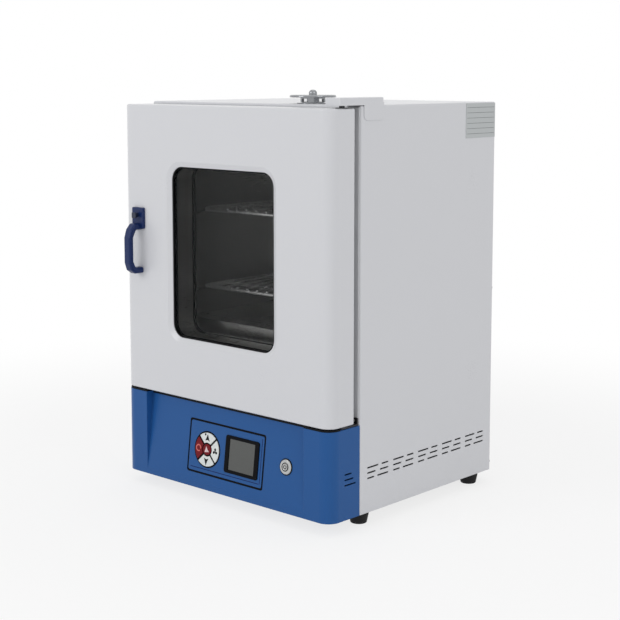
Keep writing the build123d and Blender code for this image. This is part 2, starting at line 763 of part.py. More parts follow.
# dark tray behind the insert: fills the outline and flanges against the fascia's back
tray_recess = 0.4
tray_depth = 9.0
tray_flange = 5.0
display_x = 35.5
display_width = 72.0
display_height = 58.0
display_view_width = 55.0
display_view_height = 48.0
display_proud = 1.6
keypad_x = -40.5
keypad_radius = 28.5
key_clearance = 0.25
stem_radius = 1.6
stem_fit = 0.08

with BuildPart() as control_tray:
    with BuildSketch(slope_plane(insert_x, insert_z).offset(-tray_recess)):
        RectangleRounded(
            insert_width + 2 * insert_gap - 2 * seat_gap,
            insert_height + 2 * insert_gap - 2 * seat_gap,
            4 - seat_gap,
        )
        RectangleRounded(insert_width + seat_gap, insert_height + seat_gap, 3, mode=Mode.SUBTRACT)
    extrude(amount=-tray_depth)
    with BuildSketch(slope_plane(insert_x, insert_z).offset(-fascia_wall - seat_gap)):
        RectangleRounded(
            insert_width + 2 * insert_gap + 2 * tray_flange,
            insert_height + 2 * insert_gap + 2 * tray_flange,
            5,
        )
        RectangleRounded(insert_width + seat_gap, insert_height + seat_gap, 3, mode=Mode.SUBTRACT)
    extrude(amount=-2)
    # ledge the insert plate rests on
    with BuildSketch(slope_plane(insert_x, insert_z).offset(-insert_thickness)):
        RectangleRounded(insert_width + 2, insert_height + 2, 3)
        RectangleRounded(insert_width - 8, insert_height - 8, 3, mode=Mode.SUBTRACT)
    extrude(amount=-2)
save(control_tray.part, "control_tray")

with BuildPart() as control_insert:
    with BuildSketch(slope_plane(insert_x, insert_z)):
        RectangleRounded(insert_width, insert_height, 3)
        with Locations((display_x, 0)):
            RectangleRounded(display_width - 6, display_height - 6, 2, mode=Mode.SUBTRACT)
        with Locations((keypad_x, -2)):
            Circle(keypad_radius + seat_gap, mode=Mode.SUBTRACT)
    extrude(amount=-insert_thickness)
save(control_insert.part, "control_insert")

slope_normal = Axis((0, 0, 0), (0, -cos(slope_angle), sin(slope_angle)))
display_plane = slope_plane(insert_x + display_x, insert_z)

with BuildPart() as display_bezel:
    with BuildSketch(display_plane):
        RectangleRounded(display_width, display_height, 4)
    extrude(amount=display_proud)
    fillet(display_bezel.faces().sort_by(slope_normal)[-1].edges(), radius=0.8)
    with BuildSketch(display_plane):
        RectangleRounded(display_width - 6 - seat_gap, display_height - 6 - seat_gap, 2)
    extrude(amount=-insert_thickness)
    with BuildSketch(display_plane.offset(display_proud)):
        RectangleRounded(display_view_width, display_view_height, 1)
    extrude(amount=-insert_thickness - display_proud, mode=Mode.SUBTRACT)
save(display_bezel.part, "display_bezel")

with BuildPart() as display_glass:
    with BuildSketch(display_plane.offset(display_proud - 1)):
        RectangleRounded(display_view_width - 0.1, display_view_height - 0.1, 1)
    extrude(amount=-insert_thickness)
save(display_glass.part, "display_glass")

# round keypad: a dark base with five wells, four sector keys and a round centre key
keypad_base_depth = 6.0
keypad_well_depth = 3.4
key_outer_radius = 26.2
key_inner_radius = 10.8
centre_key_radius = 8.6
key_rib = 3.2               # dark web between neighbouring sector keys
key_proud = 1.2
key_rest_gap = 1.2          # under each key: 0.8 of it is taken up as the key is pressed
key_angles = {"up": 90, "right": 0, "down": 270, "left": 180}
keypad_plane = slope_plane(insert_x + keypad_x, insert_z - 2)
stem_reach = (key_outer_radius + key_inner_radius) / 2


def sector_outline(outer, inner, rib, angle):
    """A quarter ring that faces one way, between two diagonal ribs."""
    apex = rib / sqrt(2)
    with BuildSketch(mode=Mode.PRIVATE) as outline:
        Circle(outer)
        Circle(inner, mode=Mode.SUBTRACT)
        Polygon(
            (0, apex),
            (-outer, apex + outer),
            (outer, apex + outer),
            align=None,
            mode=Mode.INTERSECT,
        )
        fillet(outline.vertices(), radius=1.0)
    return outline.sketch.rotate(Axis.Z, angle - 90)


def stem_place(angle):
    return (stem_reach * cos(radians(angle)), stem_reach * sin(radians(angle)))


with BuildPart() as keypad_base:
    with BuildSketch(keypad_plane.offset(0.2)):
        Circle(keypad_radius)
    extrude(amount=-keypad_base_depth)
    with BuildSketch(keypad_plane.offset(-insert_thickness)):
        Circle(keypad_radius + 3)
    extrude(amount=insert_thickness - keypad_base_depth)
    with BuildSketch(keypad_plane.offset(0.3)):
        for angle in key_angles.values():
            add(
                sector_outline(
                    key_outer_radius + key_clearance,
                    key_inner_radius - key_clearance,
                    key_rib - 2 * key_clearance,
                    angle,
                )
            )
        Circle(centre_key_radius + key_clearance)
    extrude(amount=-keypad_well_depth - 0.3, mode=Mode.SUBTRACT)
    with BuildSketch(keypad_plane):
        with Locations((0, 0), *[stem_place(angle) for angle in key_angles.values()]):
            Circle(stem_radius + stem_fit)
    extrude(amount=-2 * keypad_base_depth, mode=Mode.SUBTRACT)
save(keypad_base.part, "keypad_base")


def keypad_key(outline, stem):
    """A key with a crowned edge, a guide stem and a snap head under the base."""
    with BuildPart() as key:
        with BuildSketch(keypad_plane.offset(key_proud)):
            add(outline)
        extrude(amount=key_rest_gap - keypad_well_depth - key_proud)
        fillet(key.faces().sort_by(slope_normal)[-1].edges(), radius=0.5)
        with BuildSketch(keypad_plane.offset(key_rest_gap - keypad_well_depth)):
            with Locations(stem):
                Circle(stem_radius)
        extrude(amount=keypad_well_depth - key_rest_gap - keypad_base_depth - 1.2)
        with BuildSketch(keypad_plane.offset(-keypad_base_depth)):
            with Locations(stem):
                Circle(stem_radius + 0.8)
        extrude(amount=-1.2)
    return key.part


for key_name, key_angle in key_angles.items():
    key_outline = sector_outline(key_outer_radius, key_inner_radius, key_rib, key_angle)
    save(keypad_key(key_outline, stem_place(key_angle)), f"key_{key_name}")
with BuildSketch(mode=Mode.PRIVATE) as centre_outline:
    Circle(centre_key_radius)
save(keypad_key(centre_outline.sketch, (0, 0)), "key_centre")

# metal push switch to the right of the insert
switch_bezel_radius = 11.2
switch_bezel_proud = 2.4
switch_body_radius = switch_hole_radius - seat_gap
switch_body_depth = 26.0
switch_button_radius = 6.6
switch_plane = slope_plane(switch_x, switch_z)

with BuildPart() as switch_body:
    with BuildSketch(switch_plane):
        Circle(switch_bezel_radius)
    extrude(amount=switch_bezel_proud)
    chamfer(switch_body.faces().sort_by(slope_normal)[-1].edges(), length=1.0)
    with BuildSketch(switch_plane):
        Circle(switch_body_radius)
    extrude(amount=-switch_body_depth)
    with BuildSketch(switch_plane.offset(switch_bezel_proud)):
        Circle(switch_button_radius + 0.1)
    extrude(amount=-12, mode=Mode.SUBTRACT)
    with BuildSketch(switch_plane.offset(-switch_body_depth)):
        with Locations((-4, 0), (4, 0)):
            Rectangle(1, 5)
    extrude(amount=-7)
save(switch_body.part, "switch_body")

with BuildPart() as switch_button:
    with BuildSketch(switch_plane.offset(switch_bezel_proud + 0.6)):
        Circle(switch_button_radius)
    extrude(amount=-9)
    with BuildSketch(switch_plane.offset(switch_bezel_proud + 0.6)):
        Circle(switch_button_radius - 1.6)
        Circle(switch_button_radius - 2.4, mode=Mode.SUBTRACT)
    extrude(amount=-0.4, mode=Mode.SUBTRACT)
save(switch_button.part, "switch_button")

with BuildPart() as switch_nut:
    with BuildSketch(switch_plane.offset(-fascia_wall)):
        RegularPolygon(13, 6)
        Circle(switch_body_radius, mode=Mode.SUBTRACT)
    extrude(amount=-3)
save(switch_nut.part, "switch_nut")

# ---------------------------------------------------------------- electronics in the base
board_width = insert_width + 2
board_height = insert_height + 2
board_thickness = 1.6
board_depth = 22.0          # behind the sloping face
board_plane = slope_plane(insert_x, insert_z).offset(-board_depth)

with BuildPart() as control_board:
    with BuildSketch(board_plane):
        RectangleRounded(board_width, board_height, 2)
    extrude(amount=-board_thickness)
    # pillars forward to the tray's ledge
    with BuildSketch(board_plane):
        with GridLocations(insert_width - 6, insert_height - 6, 2, 2):
            Circle(1.8)
    extrude(amount=board_depth - insert_thickness - 2)
    # relay, transformer and plug header on the back
    with BuildSketch(board_plane.offset(-board_thickness)):
        with Locations((-48, 8)):
            Rectangle(32, 28)
    extrude(amount=-24)
    with BuildSketch(board_plane.offset(-board_thickness)):
        with Locations((0, 12)):
            Rectangle(19, 15)
        with Locations((45, 18)):
            Rectangle(40, 10)
    extrude(amount=-12)
    # display module carrier in front of the board
    with BuildSketch(board_plane):
        with Locations((display_x, 0)):
            Rectangle(display_view_width, display_view_height - 4)
    extrude(amount=board_depth - insert_thickness - display_proud - 1)
save(control_board.part, "control_board")

relay_x = 60.0
relay_width = 60.0
relay_length = 70.0
relay_setback = 120.0       # from the cabinet's rear edge
relay_y = y_rear - relay_setback
floor_z = z_bottom + sheet

with BuildPart() as solid_state_relay:
    with BuildSketch(Plane.XY.offset(floor_z)):
        with Locations((relay_x, relay_y)):
            Rectangle(relay_width, relay_length)
    extrude(amount=5)
    with BuildSketch(Plane.XY.offset(floor_z + 5)):
        with Locations((relay_x, relay_y)):
            with GridLocations(7, 1, 8, 1):
                Rectangle(1.6, relay_length)
    extrude(amount=20)
    with BuildSketch(Plane.XY.offset(floor_z + 25)):
        with Locations((relay_x, relay_y)):
            Rectangle(relay_width - 7, relay_length - 8)
    extrude(amount=3)
    with BuildSketch(Plane.XY.offset(floor_z + 28)):
        with Locations((relay_x, relay_y)):
            RectangleRounded(relay_width - 16, relay_length - 13, 3)
    extrude(amount=22)
save(solid_state_relay.part, "solid_state_relay")

terminal_x = -30.0
terminal_count = 6

with BuildPart() as terminal_block:
    with BuildSketch(Plane.XY.offset(floor_z)):
        with Locations((terminal_x, relay_y)):
            Rectangle(terminal_count * 12 + 8, 26)
    extrude(amount=8)
    with BuildSketch(Plane.XY.offset(floor_z + 8)):
        with Locations((terminal_x, relay_y)):
            Rectangle(terminal_count * 12 + 2, 14)
    extrude(amount=8)
    with BuildSketch(Plane.XY.offset(floor_z + 16)):
        with Locations((terminal_x, relay_y)):
            with GridLocations(12, 1, terminal_count, 1):
                Circle(3.2)
    extrude(amount=-3, mode=Mode.SUBTRACT)
save(terminal_block.part, "terminal_block")

with BuildPart() as power_inlet:
    with BuildSketch(front_plane(y_panel + 2.6)):
        with Locations((inlet_x, inlet_z)):
            RectangleRounded(inlet_width + 22, inlet_height + 10, 3)
            with Locations((-20, 0), (20, 0)):
                Circle(1.7, mode=Mode.SUBTRACT)
    extrude(amount=2.6)
    with BuildSketch(front_plane(y_panel)):
        with Locations((inlet_x, inlet_z)):
            Rectangle(inlet_width, inlet_height)
    extrude(amount=29)
    # socket with its two cut corners and three pins
    with BuildSketch(front_plane(y_panel + 3)):
        with Locations((inlet_x, inlet_z)):
            Polygon(
                (-12, -8.3), (12, -8.3), (12, 3.5), (7, 8.3), (-7, 8.3), (-12, 3.5), align=None
            )
    extrude(amount=20, mode=Mode.SUBTRACT)
    with BuildSketch(front_plane(y_panel - 17.2)):
        with Locations((inlet_x, inlet_z)):
            with Locations((-7, -2.5), (7, -2.5), (0, 2)):
                Rectangle(2, 4)
    extrude(amount=-10)
    with BuildSketch(front_plane(y_panel - 29)):
        with Locations((inlet_x, inlet_z)):
            with GridLocations(8, 1, 3, 1):
                Rectangle(4, 0.8)
    extrude(amount=8)
save(power_inlet.part, "power_inlet")

with BuildPart() as fuse_holder:
    with BuildSketch(front_plane(y_panel)):
        with Locations((fuse_x, inlet_z)):
            Circle(fuse_radius + 2.5)
    extrude(amount=-3)
    with BuildSketch(front_plane(y_panel + 3)):
        with Locations((fuse_x, inlet_z)):
            Circle(fuse_radius)
    extrude(amount=34)
    with BuildSketch(front_plane(y_panel + 3.5)):
        with Locations((fuse_x, inlet_z)):
            Rectangle(8, 1.4)
    extrude(amount=2, mode=Mode.SUBTRACT)
    with BuildSketch(front_plane(y_rear)):
        with Locations((fuse_x, inlet_z)):
            RegularPolygon(10, 6)
    extrude(amount=3)
save(fuse_holder.part, "fuse_holder")

# ---------------------------------------------------------------- hinges
hinge_x = half_width - hinge_inset
hinge_y = y_body - hinge_forward
hinge_cover_width = 29.0
hinge_cover_height = 11.0
hinge_cover_front = 46.0    # in front of the cabinet's edge
hinge_cover_rear = 50.0     # behind it
hinge_cover_overhang = 1.0
hinge_cover_wall = 1.5
hinge_tab_drop = 22.0
hinge_tab_front = 6.0
arm_thickness = 4.0
arm_width = 14.0
bush_radius = 7.0
bush_length = 18.0
bush_flange_radius = 9.0
bush_flange = 1.0
lower_arm_thickness = 2.4
hinge_cover_x = half_width + hinge_cover_overhang - hinge_cover_width / 2

with BuildPart() as hinge_cover:
    with BuildSketch(Plane.XY.offset(z_top)):
        with Locations((hinge_cover_x, y_body + (hinge_cover_rear - hinge_cover_front) / 2)):
            Rectangle(hinge_cover_width, hinge_cover_front + hinge_cover_rear)
    extrude(amount=hinge_cover_height)
    fillet(hinge_cover.edges().filter_by(Axis.Z), radius=2.5)
    fillet(hinge_cover.faces().sort_by(Axis.Z)[-1].edges(), radius=1.5)
    with BuildSketch(Plane.XY.offset(z_top)):
        with Locations((hinge_cover_x, y_body + (hinge_cover_rear - hinge_cover_front) / 2)):
            Rectangle(
                hinge_cover_width - 2 * hinge_cover_wall,
                hinge_cover_front + hinge_cover_rear - 2 * hinge_cover_wall,
            )
    extrude(amount=hinge_cover_height - hinge_cover_wall, mode=Mode.SUBTRACT)
    # tab that laps down the cabinet's side
    with BuildSketch(Plane.YZ.offset(half_width + seat_gap)):
        with BuildLine():
            Polyline(
                (y_body + hinge_cover_rear, z_top + 4),
                (y_body + hinge_cover_rear, z_top - hinge_tab_drop + 4),
                (y_body + hinge_cover_rear - 4, z_top - hinge_tab_drop),
                (y_body + hinge_tab_front + 8, z_top - hinge_tab_drop),
            )
            RadiusArc(
                (y_body + hinge_tab_front + 8, z_top - hinge_tab_drop),
                (y_body + hinge_tab_front, z_top - hinge_tab_drop + 8),
                8,
            )
            Polyline(
                (y_body + hinge_tab_front, z_top - hinge_tab_drop + 8),
                (y_body + hinge_tab_front, z_top + 4),
                (y_body + hinge_cover_rear, z_top + 4),
            )
        make_face()
    extrude(amount=hinge_cover_overhang - seat_gap)
save(hinge_cover.part, "hinge_cover")

with BuildPart() as upper_hinge_arm:
    with BuildSketch(Plane.XY.offset(z_top)):
        with Locations((hinge_x, hinge_y)):
            Circle(arm_width / 2)
        with Locations((hinge_x, (hinge_y + y_body + 40) / 2)):
            Rectangle(arm_width, y_body + 40 - hinge_y)
    extrude(amount=arm_thickness)
    with BuildSketch(Plane.XY.offset(z_top)):
        with Locations((hinge_x, hinge_y)):
            Circle(hinge_pin_radius)
    extrude(amount=-bush_length - 2)
    with BuildSketch(Plane.XY.offset(z_top + arm_thickness)):
        with Locations((hinge_x, y_body + 12), (hinge_x, y_body + 32)):
            RegularPolygon(4.4, 6)
    extrude(amount=3)
save(upper_hinge_arm.part, "upper_hinge_arm")

z_lower_arm = z_fascia_top + 0.3
with BuildPart() as lower_hinge_arm:
    with BuildSketch(Plane.XY.offset(z_lower_arm)):
        with Locations((hinge_x, hinge_y)):
            Circle(arm_width / 2 + 1)
        with Locations((hinge_x - 6, (hinge_y + y_frame_face) / 2)):
            Rectangle(arm_width + 14, y_frame_face - hinge_y)
    extrude(amount=lower_arm_thickness)
    # upright leg screwed to the front frame, below the door seal
    with BuildSketch(Plane.XY.offset(z_lower_arm)):
        with Locations((hinge_x - 6, y_frame_face - lower_arm_thickness / 2)):
            Rectangle(arm_width + 14, lower_arm_thickness)
    extrude(amount=11)
    with BuildSketch(Plane.XY.offset(z_lower_arm)):
        with Locations((hinge_x, hinge_y)):
            Circle(hinge_pin_radius)
    extrude(amount=bush_length + 2)
save(lower_hinge_arm.part, "lower_hinge_arm")

# ---------------------------------------------------------------- door
door_skin_sheet = 1.2
bevel_outer_width = window_width + 2 * window_bevel
bevel_outer_height = window_height + 2 * window_bevel
bevel_taper = 90 - degrees(atan(window_bevel_depth / window_bevel))
y_bevel_end = y_face + window_bevel_depth
y_outer_seal = y_bevel_end + door_skin_sheet
y_outer_glass = y_outer_seal + (seal_thickness - glass_thickness) / 2
y_sleeve_front = y_outer_seal + seal_thickness
y_inner_panel = y_door_back - door_skin_sheet
y_inner_seal = y_inner_panel - seal_thickness
y_inner_glass = y_inner_seal + (seal_thickness - glass_thickness) / 2
seal_outer_width = window_width + 16.0
seal_outer_height = window_height + 16.0
seal_inner_width = window_width - 2 * seal_lip
seal_inner_height = window_height - 2 * seal_lip
seal_inner_radius = window_radius - seal_lip
glass_lap = 6.0
z_door_mid = (z_door_bottom + z_door_top) / 2
button_z = latch_pivot_z + 28.0
button_rod_radius = 3.0
button_rod_fit = 0.08

with BuildPart() as door_skin:
    with BuildSketch(Plane.XY.offset(z_door_bottom)):
        add(upright_rounded(body_width, y_face, y_door_back, front_corner_radius))
    extrude(amount=door_height)
    fillet(
        door_skin.faces().sort_by(Axis.Z)[-1].outer_wire().edges().filter_by_position(
            Axis.Y, y_face - 1, y_door_back - 0.5
        )
        + door_skin.faces().sort_by(Axis.Z)[0].outer_wire().edges().filter_by_position(
            Axis.Y, y_face - 1, y_door_back - 0.5
        ),
        radius=2.5,
    )
    with BuildSketch(Plane.XY.offset(z_door_bottom + door_skin_sheet)):
        add(
            upright_rounded(
                body_width - 2 * door_skin_sheet,
                y_face + door_skin_sheet,
                y_door_back + 1,
                front_corner_radius - door_skin_sheet,
            )
        )
    extrude(amount=door_height - 2 * door_skin_sheet, mode=Mode.SUBTRACT)
    # pressed bevel round the window: a sloping wall behind a sloping recess
    with BuildSketch(front_plane(y_face + door_skin_sheet)):
        with Locations((0, z_window)):
            RectangleRounded(
                bevel_outer_width, bevel_outer_height, window_radius + window_bevel
            )
    extrude(amount=-window_bevel_depth)
    with BuildSketch(front_plane(y_face)):
        with Locations((0, z_window)):
            RectangleRounded(
                bevel_outer_width, bevel_outer_height, window_radius + window_bevel
            )
    extrude(amount=-window_bevel_depth, taper=bevel_taper, mode=Mode.SUBTRACT)
    with BuildSketch(front_plane(y_face)):
        with Locations((0, z_window)):
            RectangleRounded(window_width, window_height, window_radius)
        with Locations((latch_x, button_z)):
            Circle(button_rod_radius + 1.5)
    extrude(amount=-front_zone / 2, mode=Mode.SUBTRACT)
    # bush holes top and bottom
    with BuildSketch(Plane.XY.offset(z_door_bottom - 1)):
        with Locations((hinge_x, hinge_y)):
            Circle(bush_radius + seat_gap)
    extrude(amount=door_height + 2, mode=Mode.SUBTRACT)
save(door_skin.part, "door_skin")


def window_ring(y_front, thickness, outer, inner, inner_radius):
    """A rounded frame round the window, growing backwards from y_front."""
    outer_radius = inner_radius + (outer[0] - inner[0]) / 2
    with BuildPart() as ring:
        with BuildSketch(front_plane(y_front)):
            with Locations((0, z_window)):
                RectangleRounded(*outer, outer_radius)
                RectangleRounded(*inner, inner_radius, mode=Mode.SUBTRACT)
        extrude(amount=-thickness)
    return ring.part


def glass_seal(y_seal, y_glass):
    """A rubber profile with a groove for the edge of one pane."""
    groove = window_ring(
        y_glass,
        glass_thickness,
        (seal_inner_width + 2 * glass_lap, seal_inner_height + 2 * glass_lap),
        (seal_inner_width - 2, seal_inner_height - 2),
        seal_inner_radius - 1,
    )
    with BuildPart() as seal:
        add(
            window_ring(
                y_seal,
                seal_thickness,
                (seal_outer_width, seal_outer_height),
                (seal_inner_width, seal_inner_height),
                seal_inner_radius,
            )
        )
        add(groove, mode=Mode.SUBTRACT)
    return seal.part


def window_pane(y_front):
    with BuildPart() as pane:
        with BuildSketch(front_plane(y_front)):
            with Locations((0, z_window)):
                RectangleRounded(
                    seal_inner_width + 2 * glass_lap,
                    seal_inner_height + 2 * glass_lap,
                    seal_inner_radius + glass_lap,
                )
        extrude(amount=-glass_thickness)
    return pane.part


save(glass_seal(y_outer_seal, y_outer_glass), "outer_glass_seal")
save(window_pane(y_outer_glass), "outer_glass")
save(glass_seal(y_inner_seal, y_inner_glass), "inner_glass_seal")
save(window_pane(y_inner_glass), "inner_glass")

with BuildPart() as window_sleeve:
    add(
        window_ring(
            y_sleeve_front,
            y_inner_seal - y_sleeve_front,
            (seal_inner_width + 2, seal_inner_height + 2),
            (seal_inner_width, seal_inner_height),
            seal_inner_radius,
        )
    )
    add(
        window_ring(
            y_sleeve_front,
            1.0,
            (seal_outer_width, seal_outer_height),
            (seal_inner_width, seal_inner_height),
            seal_inner_radius,
        )
    )
save(window_sleeve.part, "window_sleeve")

panel_flange = 10.0
panel_width = body_width - 2 * door_skin_sheet - 2 * seat_gap
panel_height = door_height - 2 * door_skin_sheet - 2 * seat_gap
latch_slot_width = 12.0
latch_slot_height = 26.0

with BuildPart() as door_inner_panel:
    with BuildSketch(front_plane(y_door_back)):
        with Locations((0, z_door_mid)):
            Rectangle(panel_width, panel_height)
    extrude(amount=panel_flange)
    with BuildSketch(front_plane(y_inner_panel)):
        with Locations((0, z_door_mid)):
            Rectangle(panel_width - 2 * door_skin_sheet, panel_height - 2 * door_skin_sheet)
    extrude(amount=panel_flange, mode=Mode.SUBTRACT)
    with BuildSketch(front_plane(y_door_back + 1)):
        with Locations((0, z_window)):
            RectangleRounded(seal_inner_width - 4, seal_inner_height - 4, seal_inner_radius - 2)
        with Locations((latch_x, strike_window_z)):
            Rectangle(latch_slot_width, latch_slot_height)
    extrude(amount=panel_flange, mode=Mode.SUBTRACT)
    # notches in the flange round the hinge bushes
    with BuildSketch(Plane.XY.offset(z_door_bottom)):
        with Locations((hinge_x, hinge_y)):
            Circle(bush_radius + 1)
    extrude(amount=door_height, mode=Mode.SUBTRACT)
save(door_inner_panel.part, "door_inner_panel")

with BuildPart() as door_insulation:
    with BuildSketch(Plane.XY.offset(z_door_bottom + door_skin_sheet + plate_gap)):
        add(
            upright_rounded(
                body_width - 4 * door_skin_sheet - 4 * plate_gap,
                y_face + door_skin_sheet + plate_gap,
                y_inner_panel - plate_gap,
                front_corner_radius,
            )
        )
    extrude(amount=door_height - 2 * door_skin_sheet - 2 * plate_gap)
    with BuildSketch(front_plane(y_face)):
        # clear of the panel's flange
        with Locations((0, z_door_mid)):
            Rectangle(body_width, door_height + 10)
            Rectangle(panel_width - 6, panel_height - 6, mode=Mode.SUBTRACT)
        with Locations((0, z_window)):
            RectangleRounded(
                bevel_outer_width + 6, bevel_outer_height + 6, window_radius + window_bevel
            )
        # pocket round the latch
        with Locations((latch_x, latch_pivot_z + 8)):
            Rectangle(24, 76)
        # room round both hinge bushes
        for bush_z in (z_door_bottom, z_door_top):
            with Locations((hinge_x, bush_z)):
                Rectangle(2 * bush_radius + 20, 2 * bush_length + 10)
    extrude(amount=-door_thickness, mode=Mode.SUBTRACT)
save(door_insulation.part, "door_insulation")

gasket_depth = y_frame_face - y_door_back - fit_gap
with BuildPart() as door_gasket:
    with BuildSketch(front_plane(y_door_back)):
        with Locations((0, z_door_mid)):
            RectangleRounded(body_width - 2 * gasket_inset, door_height - 2 * gasket_inset, 12)
            RectangleRounded(
                body_width - 2 * gasket_inset - 2 * gasket_width,
                door_height - 2 * gasket_inset - 2 * gasket_width,
                4,
                mode=Mode.SUBTRACT,
            )
    extrude(amount=-gasket_depth)
    # hollow bulb, and a step where the seal narrows towards the frame
    with BuildSketch(front_plane(y_door_back + 5)):
        with Locations((0, z_door_mid)):
            RectangleRounded(body_width, door_height, 12)
            RectangleRounded(
                body_width - 2 * gasket_inset - 4, door_height - 2 * gasket_inset - 4, 10,
                mode=Mode.SUBTRACT,
            )
    extrude(amount=-gasket_depth, mode=Mode.SUBTRACT)
save(door_gasket.part, "door_gasket")


def hinge_bush(flange_z, end_z):
    """A flanged bearing bush pressed into the door's edge."""
    inward = 1 if end_z > flange_z else -1
    with BuildPart() as bush:
        with BuildSketch(Plane.XY.offset(flange_z)):
            with Locations((hinge_x, hinge_y)):
                Circle(bush_flange_radius)
        extrude(amount=-inward * bush_flange)
        with BuildSketch(Plane.XY.offset(flange_z)):
            with Locations((hinge_x, hinge_y)):
                Circle(bush_radius)
        extrude(amount=end_z - flange_z)
        with BuildSketch(Plane.XY.offset(flange_z - inward * 2 * bush_flange)):
            with Locations((hinge_x, hinge_y)):
                Circle(hinge_pin_radius + hinge_clearance)
        extrude(amount=inward * (3 + bush_length + 2), mode=Mode.SUBTRACT)
    return bush.part


save(hinge_bush(z_door_top, z_door_top - bush_length), "upper_hinge_bush")
save(hinge_bush(z_door_bottom, z_door_bottom + bush_length), "lower_hinge_bush")

# ---------------------------------------------------------------- handle and latch
plate_width = 26.0
plate_height = 33.5
plate_bottom = z_bottom + 399.5
plate_thickness = 5.0
bow_top = z_bottom + 408.0
bow_bottom = z_bottom + 328.0
y_bow = y_face - handle_reach
y_plate = y_face - plate_thickness
button_width = 9.0
button_proud = 7.5
button_travel = 5.0

with BuildPart() as door_handle:
    with BuildSketch(front_plane(y_face)):
        with Locations((latch_x, plate_bottom + plate_height / 2)):
            RectangleRounded(plate_width, plate_height, 2)
    extrude(amount=plate_thickness)
    fillet(door_handle.faces().sort_by(Axis.Y)[0].edges(), radius=1.2)
    with BuildPart(mode=Mode.PRIVATE) as bow:
        with BuildSketch(Plane.YZ.offset(latch_x - handle_width / 2)):
            Polygon(
                (y_face, bow_bottom),
                (y_bow + 13, bow_bottom),
                (y_bow + 4, bow_bottom + 6),
                (y_bow, bow_bottom + 18),
                (y_bow, bow_top - 22),
                (y_bow + 4, bow_top - 9),
                (y_bow + 12, bow_top),
                (y_face, bow_top),
                (y_face, bow_top - 10),
                (y_bow + 15, bow_top - 10),
                (y_bow + 9, bow_top - 22),
                (y_bow + 9, bow_bottom + 20),
                (y_bow + 14, bow_bottom + 9.5),
                (y_face, bow_bottom + 9.5),
                align=None,
            )
        extrude(amount=handle_width)
        cross_edges = bow.edges().filter_by(Axis.X)
        fillet([e for e in cross_edges if e.center().Y < y_plate - 1], radius=5)
        side_faces = bow.faces().sort_by(Axis.X)
        side_edges = side_faces[0].edges() + side_faces[-1].edges()
        fillet([e for e in side_edges if e.center().Y < y_face - 0.5], radius=3)
    add(bow.part)
    with BuildSketch(front_plane(y_face)):
        with Locations((latch_x, button_z)):
            Circle(button_rod_radius + button_rod_fit)
    extrude(amount=plate_thickness * 2, mode=Mode.SUBTRACT)
save(door_handle.part, "door_handle")

y_rod_end = y_face + 19.0
with BuildPart() as latch_button:
    with BuildSketch(front_plane(y_plate - fit_gap - button_travel)):
        with Locations((latch_x, button_z)):
            RectangleRounded(button_width, button_width, 1.5)
    extrude(amount=button_proud - button_travel)
    with BuildSketch(front_plane(y_plate - fit_gap - button_travel)):
        with Locations((latch_x, button_z)):
            Circle(button_rod_radius)
    extrude(amount=-(y_rod_end - y_plate + fit_gap + button_travel))
save(latch_button.part, "latch_button")

latch_pivot_y = y_rod_end + fit_gap + 4.0
latch_width = 6.0
pivot_radius = 3.0
nose_height = 3.0
strike_top = strike_window_z + strike_window_height / 2
bracket_width = 16.0
bracket_wall = 1.5

with BuildPart() as latch_bracket:
    # two cheeks on a foot that stands against the inner panel
    with BuildSketch(front_plane(y_inner_panel)):
        with Locations((latch_x, latch_pivot_z - 4)):
            Rectangle(bracket_width, 34)
            with Locations((0, 3)):
                Rectangle(latch_slot_width, latch_slot_height, mode=Mode.SUBTRACT)
    extrude(amount=bracket_wall)
    for side in (-1, 1):
        with BuildSketch(Plane.YZ.offset(latch_x + side * (bracket_width - bracket_wall) / 2)):
            Polygon(
                (y_inner_panel, latch_pivot_z - 21),
                (y_inner_panel, latch_pivot_z + 13),
                (latch_pivot_y - 4, latch_pivot_z + 5),
                (latch_pivot_y - 5, latch_pivot_z - 5),
                align=None,
            )
        extrude(amount=bracket_wall / 2, both=True)
    with BuildSketch(Plane.YZ.offset(latch_x - bracket_width / 2)):
        with Locations((latch_pivot_y, latch_pivot_z)):
            Circle(pivot_radius)
    extrude(amount=bracket_width)
save(latch_bracket.part, "latch_bracket")

with BuildPart() as latch_hook:
    with BuildSketch(Plane.YZ.offset(latch_x - latch_width / 2)):
        Polygon(
            (y_rod_end + fit_gap, button_z + 5),
            (y_rod_end + fit_gap + 4, button_z + 5),
            (y_rod_end + fit_gap + 8, latch_pivot_z + 9),
            (y_door_back - 6, strike_top - 7),
            (y_body + 1, strike_top - 2.0),
            (y_body + 1, strike_top + nose_height - 1),
            (y_body + 3, strike_top + nose_height - 1),
            (y_body + 10, strike_top - 5),
            (y_body + 10, strike_top - 9),
            (y_door_back - 6, latch_pivot_z - 2),
            (latch_pivot_y + 4, latch_pivot_z - 6),
            (latch_pivot_y - 4, latch_pivot_z - 6),
            (y_rod_end + fit_gap, latch_pivot_z + 6),
            align=None,
        )
        with Locations((latch_pivot_y, latch_pivot_z)):
            Circle(pivot_radius + 0.06, mode=Mode.SUBTRACT)
    extrude(amount=latch_width)
save(latch_hook.part, "latch_hook")

with BuildPart() as latch_strike:
    with BuildSketch(front_plane(y_frame_face)):
        with Locations((latch_x, strike_window_z)):
            RectangleRounded(strike_width, strike_window_height + 14, 2)
            Rectangle(strike_window_width - 2, strike_window_height, mode=Mode.SUBTRACT)
    extrude(amount=1.5)
save(latch_strike.part, "latch_strike")
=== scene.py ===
import json
import math

import bmesh
import bpy
from mathutils import Matrix, Vector


